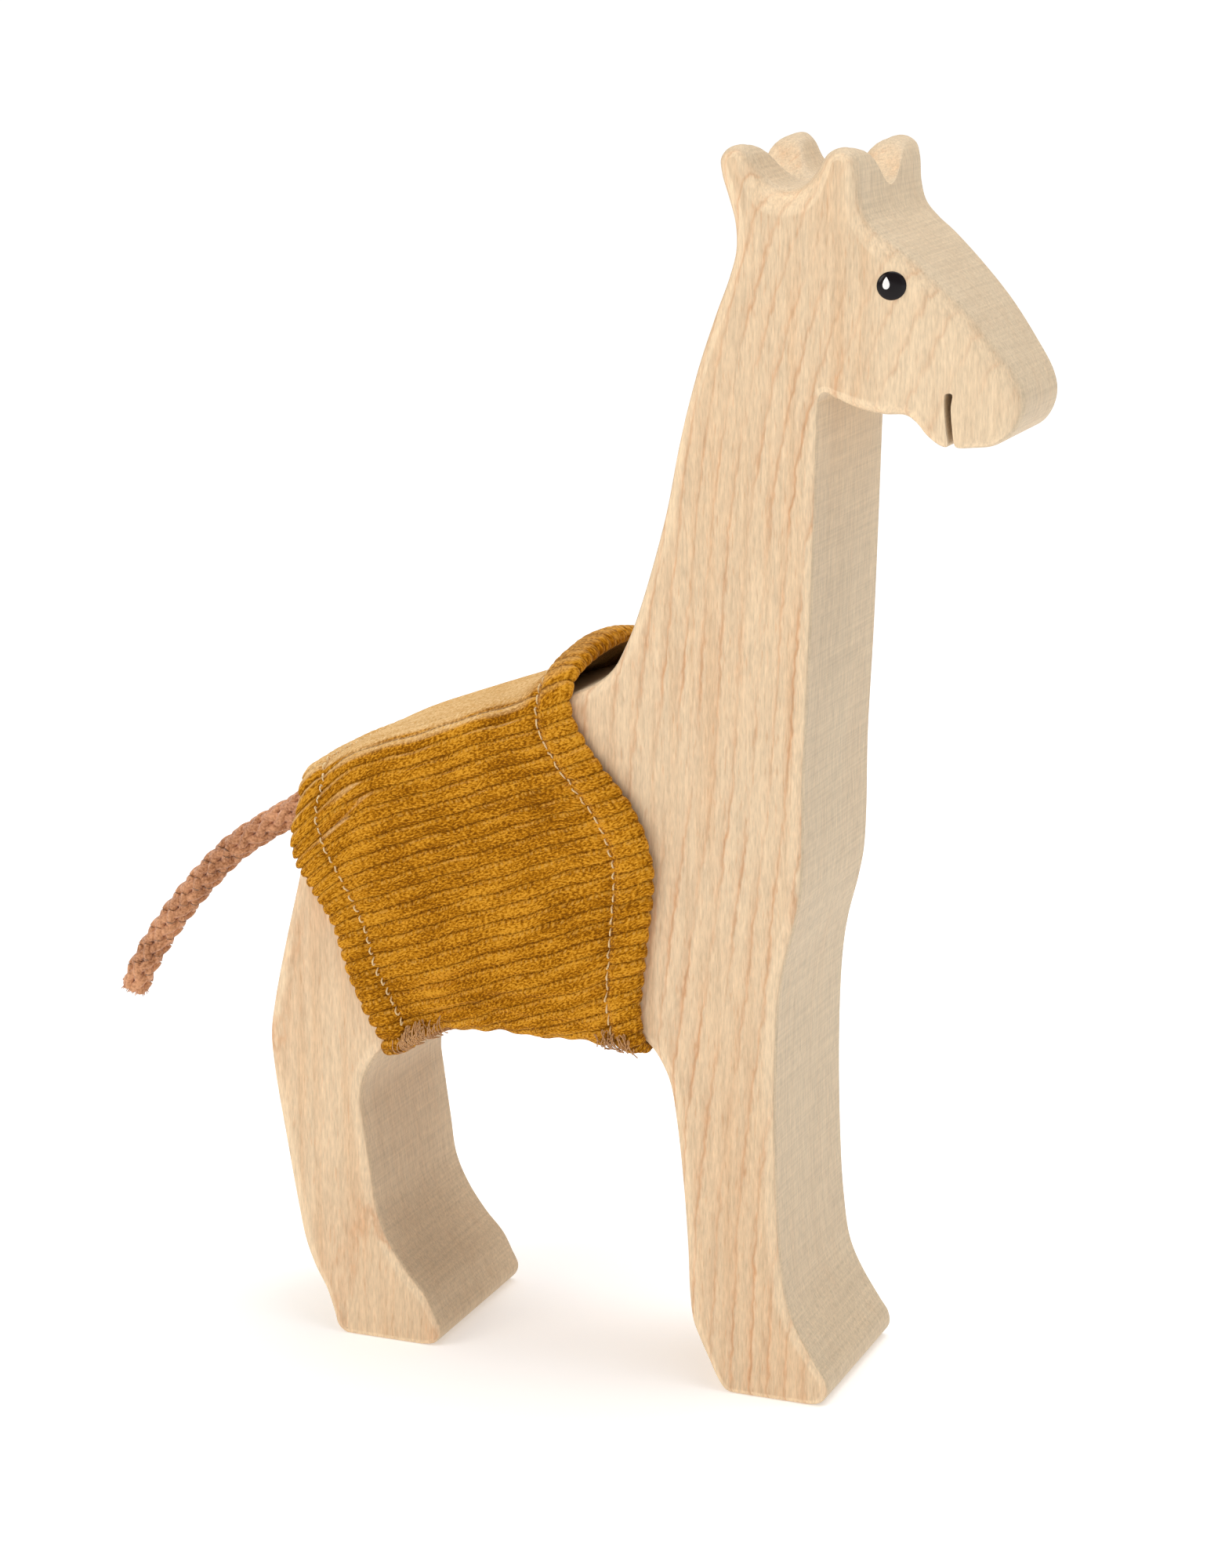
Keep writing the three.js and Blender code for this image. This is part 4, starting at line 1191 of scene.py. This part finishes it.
    def build(self, material: Material) -> Piece:
        """Make the sleeve: ribbed outside, plain lining, joined round both hems.

        Args:
            material: the corduroy.

        Returns:
            The cover.
        """
        outer = self.surface(0.0, self.rows, True)
        inner = self.surface(-self.cloth, self.lining_rows, False)[::-1]
        front_rim = self._rim(outer[-3], outer[-1], inner[0])
        rear_rim = self._rim(outer[2], outer[0], inner[-1])[::-1]
        skin = np.concatenate([outer, front_rim, inner, rear_rim])
        rows, girth, _ = skin.shape
        quads, corners = grid_quads(rows, girth, True, True)
        y, share, _, from_back = self.section()
        ribs = self.ribs(skin[..., 0], share, from_back)
        along = distance_along(skin[:, girth // 4]) / 10
        row, column = corners[..., 0], corners[..., 1]
        left = (column.min(axis=1) < girth // 2)[:, None]
        v = along[row % rows] + np.where(row == rows, along[-1] + 0.05, 0) + np.where(left, 0, 17)
        uv = np.stack([ribs[row % rows, column % girth], v], axis=-1)
        piece = build_piece("corduroy_sleeve", skin.reshape(-1, 3), quads, material, "corduroy", uv)
        lining = np.zeros(skin.shape[:2], dtype=np.float32)
        lining[self.rows + self.rim_rows : self.rows + self.rim_rows + self.lining_rows] = 1
        piece.data.attributes.new("lining", "FLOAT", "POINT").data.foreach_set("value", lining.ravel())
        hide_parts("corduroy_cover")
        return piece

    def _rim(self, behind: np.ndarray, outer: np.ndarray, inner: np.ndarray) -> np.ndarray:
        """Rows that carry the cloth's fold round a hem, half a turn from outer to inner skin.

        Args:
            behind: a row of the outer skin a little away from the hem.
            outer: the outer skin's last row.
            inner: the lining's first row.

        Returns:
            (rim rows, girth samples, 3) array.
        """
        middle, radius = (outer + inner) / 2, (outer - inner) / 2
        ahead = outer - behind
        ahead /= np.linalg.norm(ahead, axis=1, keepdims=True)
        ahead *= np.linalg.norm(radius, axis=1, keepdims=True)
        turn = np.linspace(0, np.pi, self.rim_rows + 2)[1:-1, None, None]
        return middle + radius * np.cos(turn) + ahead * np.sin(turn)

    def hem_line(self, from_edge: float, front: bool, outset: float, samples: int) -> np.ndarray:
        """A closed line on the cloth's outer skin at a distance from one hem.

        Args:
            from_edge: millimetres from the hem's edge.
            front: whether the front hem is meant.
            outset: millimetres outside the cloth.
            samples: points round the girth.

        Returns:
            (samples, 3) array.
        """
        skin = self.surface(outset, self.rows, True)
        share = from_edge / self.length
        row = (1 - share if front else share) * (self.rows - 1)
        low = int(np.floor(row))
        line = skin[low] + (skin[low + 1] - skin[low]) * (row - low)
        pick = np.linspace(0, len(line), samples, endpoint=False)
        return points_at(pick, np.arange(len(line) + 1), np.vstack([line, line[:1]]))


@dataclass
class HemStitches:
    """A row of lockstitches along one hem: short threads that dip into the cloth."""

    sleeve: CorduroySleeve
    pitch: float = 2.0
    thread: float = 0.14

    def build(self, name: str, front: bool, material: Material) -> Piece:
        """Make the stitches of one hem.

        Args:
            name: the piece's name.
            front: whether it is the front hem.
            material: the thread.

        Returns:
            The row of stitches.
        """
        edge = CorduroySleeve.FRONT_STITCH if front else CorduroySleeve.REAR_STITCH
        line = self.sleeve.hem_line(edge, front, 0.3, 1500)
        whole = np.vstack([line, line[:1]])
        length = distance_along(whole)
        count = int(length[-1] / self.pitch)
        points = 9
        at = (np.arange(count)[:, None] + np.linspace(0.2, 0.8, points)[None]) * length[-1] / count
        paths = points_at(at, length, whole)
        centre = line.mean(axis=0)
        outward = paths - centre
        outward[..., 0] = 0
        outward /= np.linalg.norm(outward, axis=-1, keepdims=True)
        bow = 0.25 - 0.85 * np.linspace(-1, 1, points) ** 6
        paths = paths + outward * bow[None, :, None]
        radii = self.thread * (1 - 0.35 * np.linspace(-1, 1, points) ** 8)
        vertices, faces = tubes(paths, radii, 6)
        piece = build_piece(name, vertices, faces, material, "sewing_thread")
        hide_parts("front_hem_thread" if front else "rear_hem_thread")
        return piece


@dataclass
class BellySeam:
    """The overlocked seam that closes the sleeve: loops of thread over the cloth's raw edge."""

    sleeve: CorduroySleeve
    y: float = -9.0
    width: float = 4.4
    pitch: float = 0.9
    thread: float = 0.22

    REACH = (-36.0, -3.5)
    ENDS = ((-40.2, -28.5), (-3.5, 3.4))

    def build(self, material: Material) -> Piece:
        """Make the seam: one wandering thread that zigzags across it, and two that run along.

        Args:
            material: the overlock thread.

        Returns:
            The seam.
        """
        start, end = self.REACH
        turns = (end - start) / self.pitch
        t = np.linspace(0, 1, int(turns * 12))
        x = start + (end - start) * t + 0.35 * np.sin(4 * np.pi * turns * t)
        swing = np.sin(2 * np.pi * turns * t)
        y = self.y + 0.5 * self.width * swing
        z = self.sleeve.belly_line(x) - 0.75 - 0.3 * np.cos(2 * np.pi * turns * t)
        lock = np.stack([x, y, z], axis=-1)
        straight = []
        for offset in (-0.42, 0.1, 0.42):
            sx = start + (end - start) * t
            wobble = 0.12 * np.sin(2 * np.pi * turns * t + offset * 9)
            sz = self.sleeve.belly_line(sx) - 1.05
            straight.append(np.stack([sx, self.y + offset * self.width + wobble, sz], axis=-1))
        paths = np.stack([lock, *straight])
        seam = tubes(paths, np.full(len(t), self.thread), 6)
        ends = [tubes(self._tangle(*end), np.full(160, 0.09), 6) for end in self.ENDS]
        vertices, faces = joined([seam, *ends])
        piece = build_piece("overlocked_seam", vertices, faces, material, "overlock_thread")
        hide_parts("belly_seam")
        return piece

    def _tangle(self, start: float, end: float) -> np.ndarray:
        """Overlock threads that show at a hem's lower corner, where the seam turns up the side.

        Each swings across the cloth's rounded corner while it runs along X, and its swing,
        width and height off the cloth differ by chance.
        """
        chance = np.random.default_rng(int(abs(start) * 10))
        count = 4
        t = np.linspace(0, 1, 160)[None]
        phase = chance.uniform(0, 2 * np.pi, (count, 1))
        turns = chance.uniform(0.3, 0.8, (count, 1)) * (end - start)
        from_x = start + chance.uniform(0, 0.3, (count, 1)) * (end - start)
        to_x = end - chance.uniform(0, 0.45, (count, 1)) * (end - start)
        x = from_x + (to_x - from_x) * t + 0.3 * np.sin(4 * np.pi * turns * t + phase)
        swing = 26 * np.sin(2 * np.pi * turns * t + phase) + 14 * np.sin(11 * t + 2 * phase)
        angle = np.radians(52 + swing)
        radius = self.sleeve.corner + 0.95 + chance.uniform(-0.15, 0.4, (count, 1))
        flat = self.sleeve.half - self.sleeve.corner
        y = -(flat + radius * np.sin(angle))
        z = self.sleeve.belly_line(x) + self.sleeve.corner - radius * np.cos(angle)
        return np.stack([x, y, z], axis=-1)


# ------------------------------------------------------------------ tail


@dataclass
class CordTail:
    """Braided cotton cord: strands that wind both ways round a core, each over the next."""

    strands: int = 5
    lay_mm: float = 21.0
    strand_radius: float = 0.82
    ring_radius: float = 1.58
    weave: float = 0.22
    core_radius: float = 1.35
    steps: int = 420

    DIAMETER = 5.0
    ROUTE = (
        (-45.9, 0, 93.07), (-50.2, 0, 92.15), (-54.6, 0, 91.2), (-58.2, 0, 89.85), (-61.8, 0, 87.8),
        (-65.8, 0, 85.3), (-71.6, 0, 81.7), (-76.9, 0, 77.9), (-82.3, 0, 72.6), (-87.6, 0, 66.4),
        (-92.1, 0, 60.3), (-95.4, 0, 54.9), (-97.2, 0, 50.9),
    )

    @classmethod
    def hole_axis(cls) -> tuple[np.ndarray, np.ndarray]:
        """The cord's inner end, and the direction from the hole's mouth to it."""
        start, mouth = np.array(cls.ROUTE[0], dtype=float), np.array(cls.ROUTE[2], dtype=float)
        return start, (start - mouth) / np.linalg.norm(start - mouth)

    def centre_line(self) -> tuple[np.ndarray, np.ndarray]:
        """The route by equal steps.

        Returns:
            (steps, 3) points and the distance along the cord at each.
        """
        fine = curve_through(np.array(self.ROUTE, dtype=float), 40, False)
        length = distance_along(fine)
        even = np.linspace(0, length[-1], self.steps)
        return points_at(even, length, fine), even

    def build(self, material: Material) -> Piece:
        """Make the braid, its core and the frayed ends of its strands.

        A strand winds at angle a = 2 pi k / n +- 2 pi s / lay, at radius
        r +- weave cos(2 pi n s / lay), so it passes over and under the strands it meets.

        Args:
            material: the cotton.

        Returns:
            The tail.
        """
        centre, s = self.centre_line()
        tangent = np.gradient(centre, axis=0)
        tangent /= np.linalg.norm(tangent, axis=1, keepdims=True)
        wind = 2 * np.pi * s / self.lay_mm
        swing = self.weave * np.cos(self.strands * wind)
        paths = []
        for hand in (1, -1):
            for k in range(self.strands):
                angle = 2 * np.pi * k / self.strands + hand * wind
                radius = self.ring_radius + hand * swing
                paths.append(centre + radius[:, None] * spokes(tangent, angle))
        vertices, faces = tubes(np.array(paths), np.full(self.steps, self.strand_radius), 8)
        core, core_faces = tubes(centre[None], np.full(self.steps, self.core_radius), 12)
        fray, fray_faces = self._fray(centre[-1], tangent[-1])
        vertices, faces = joined([(vertices, faces), (core, core_faces), (fray, fray_faces)])
        piece = build_piece("braided_tail", vertices, faces, material, "braided_cotton")
        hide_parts("tail_cord")
        return piece

    def _fray(self, end: np.ndarray, along: np.ndarray) -> tuple[np.ndarray, np.ndarray]:
        """Short loose fibres that stand out of the cut end."""
        chance = np.random.default_rng(7)
        count, points = 70, 6
        turn = chance.uniform(0, 2 * np.pi, count)
        radius = 2.1 * np.sqrt(chance.uniform(0, 1, count))
        spoke = spokes(along, turn)
        t = np.linspace(0, 1, points)[None, :, None]
        length = chance.uniform(0.5, 1.5, count)[:, None, None]
        spread = chance.uniform(0.0, 0.7, count)[:, None, None]
        start = end + radius[:, None] * spoke - 0.6 * along
        paths = start[:, None] + t * length * along + t**2 * spread * spoke[:, None]
        return tubes(paths, 0.16 * (1 - 0.6 * np.linspace(0, 1, points)), 4)


@dataclass
class HoleGlue:
    """Dried glue behind the cord's end, a slightly dished disc that fills the hole's bottom."""

    gap: float = 0.3

    PROFILE = ((0.02, 0.1), (1.2, 0.06), (2.2, 0.0), (2.5, 0.05), (2.5, 0.35), (2.2, 0.4), (0.02, 0.4))

    def build(self, material: Material) -> Piece:
        """Make the disc: radius and depth of its profile carried once round the hole's axis.

        Args:
            material: the glue.

        Returns:
            The glue.
        """
        start, along = CordTail.hole_axis()
        radius, depth = np.array(self.PROFILE).T[:, :, None, None]
        around = 40
        vertices = start + (self.gap + depth) * along + radius * spokes(along, full_turn(around))
        quads, _ = grid_quads(len(self.PROFILE), around, False, True)
        top = (len(self.PROFILE) - 1) * around
        caps = [list(reversed(range(around))), list(range(top, top + around))]
        faces = [face[::-1] for face in quads.tolist()] + caps
        piece = build_piece("hole_glue", vertices.reshape(-1, 3), faces, material, "glue")
        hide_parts("tail_glue")
        return piece


# ------------------------------------------------------------------ studio


@dataclass
class Studio:
    """White paper floor, three soft boxes and the camera, in millimetres."""

    target: tuple[float, float, float] = (-7.65, 0, 95.4)
    azimuth: float = 21.8
    elevation: float = 13.9
    distance: float = 614.0
    lens: float = 86.6

    def camera(self) -> Piece:
        """Set the camera at its azimuth and elevation, looking at the target.

        Returns:
            The camera.
        """
        a, e = np.radians(self.azimuth), np.radians(self.elevation)
        back = Vector((np.sin(a) * np.cos(e), -np.cos(a) * np.cos(e), np.sin(e)))
        data = bpy.data.cameras.new("camera")
        data.lens = self.lens
        data.sensor_width = 36
        data.sensor_height = 36
        data.sensor_fit = "VERTICAL"
        data.clip_start = 0.01
        data.clip_end = 50
        camera = bpy.data.objects.new("camera", data)
        bpy.context.collection.objects.link(camera)
        camera.location = (Vector(self.target) + back * self.distance) * MM
        camera.rotation_euler = back.to_track_quat("Z", "Y").to_euler()
        bpy.context.scene.camera = camera
        return camera

    def floor(self, material: Material) -> Piece:
        """Lay the paper: a wide sheet on z = 0 whose far edge is out of sight.

        Args:
            material: the paper.

        Returns:
            The floor.
        """
        reach = 6.0
        mesh = bpy.data.meshes.new("floor")
        corners = [(-reach, -reach, 0), (reach, -reach, 0), (reach, reach, 0), (-reach, reach, 0)]
        mesh.from_pydata(corners, [], [(0, 1, 2, 3)])
        mesh.materials.append(material)
        floor = bpy.data.objects.new("floor", mesh)
        bpy.context.collection.objects.link(floor)
        return floor

    def soft_box(self, name: str, place: tuple, size: float, power: float, colour: str) -> Piece:
        """Hang one square soft box, facing the figure.

        Args:
            name: the light's name.
            place: its place in millimetres.
            size: its side in millimetres.
            power: its power in watts.
            colour: its sRGB hex colour.

        Returns:
            The light.
        """
        data = bpy.data.lights.new(name, "AREA")
        data.shape = "SQUARE"
        data.size = size * MM
        data.energy = power
        data.color = linear(colour)[:3]
        light = bpy.data.objects.new(name, data)
        bpy.context.collection.objects.link(light)
        light.location = Vector(place) * MM
        aim = Vector(place) - Vector(self.target)
        light.rotation_euler = aim.to_track_quat("Z", "Y").to_euler()
        return light

    def light(self) -> None:
        """Light the figure from the left, from above and softly from the right."""
        self.soft_box("key", (-520, -620, 560), 520, 2.9, "fff6ec")
        self.soft_box("top", (160, 120, 900), 700, 4.6, "ffffff")
        self.soft_box("fill", (760, -300, 260), 600, 0.35, "e8f0ff")
        world = bpy.data.worlds.new("room")
        world.use_nodes = True
        background = world.node_tree.nodes["Background"]
        background.inputs["Color"].default_value = (1, 1, 1, 1)
        background.inputs["Strength"].default_value = 0.43
        bpy.context.scene.world = world
        bpy.context.scene.view_settings.view_transform = "Standard"


# ------------------------------------------------------------------ making


def main() -> None:
    """Build the studio and every piece in order."""
    logging.basicConfig(level=logging.INFO, format="%(name)s: %(message)s")
    studio = Studio()
    studio.camera()
    studio.floor(StudioPaper().build())
    studio.light()
    cotton = SpunCotton("braided_cotton", "dfa47a", "95603c", 0.42).build()
    figure = SawnFigure()
    sleeve = CorduroySleeve()
    thread = SpunCotton("hem_thread", "f7dfae", "e0b878", 0.2).build()
    pieces = [
        CordTail().build(cotton),
        HoleGlue().build(GlossPaint("dried_glue", "e8dfc0", 0.35).build()),
        figure.build(SandedMaple().build()),
        *PaintedEyes(figure).build(
            GlossPaint("black_gloss_paint", "120b0d", 0.2).build(),
            GlossPaint("white_paint", "fafaf8", 0.3).build(),
        ),
        sleeve.build(WideWaleCorduroy().build()),
        HemStitches(sleeve).build("front_hem_stitches", True, thread),
        HemStitches(sleeve).build("rear_hem_stitches", False, thread),
        BellySeam(sleeve).build(SpunCotton("overlock_thread", "cf9c62", "966434", 0.25).build()),
    ]
    for piece in pieces:
        LOG.info("%s: %d faces", piece.name, len(piece.data.polygons))


if __name__ == "__main__":
    main()
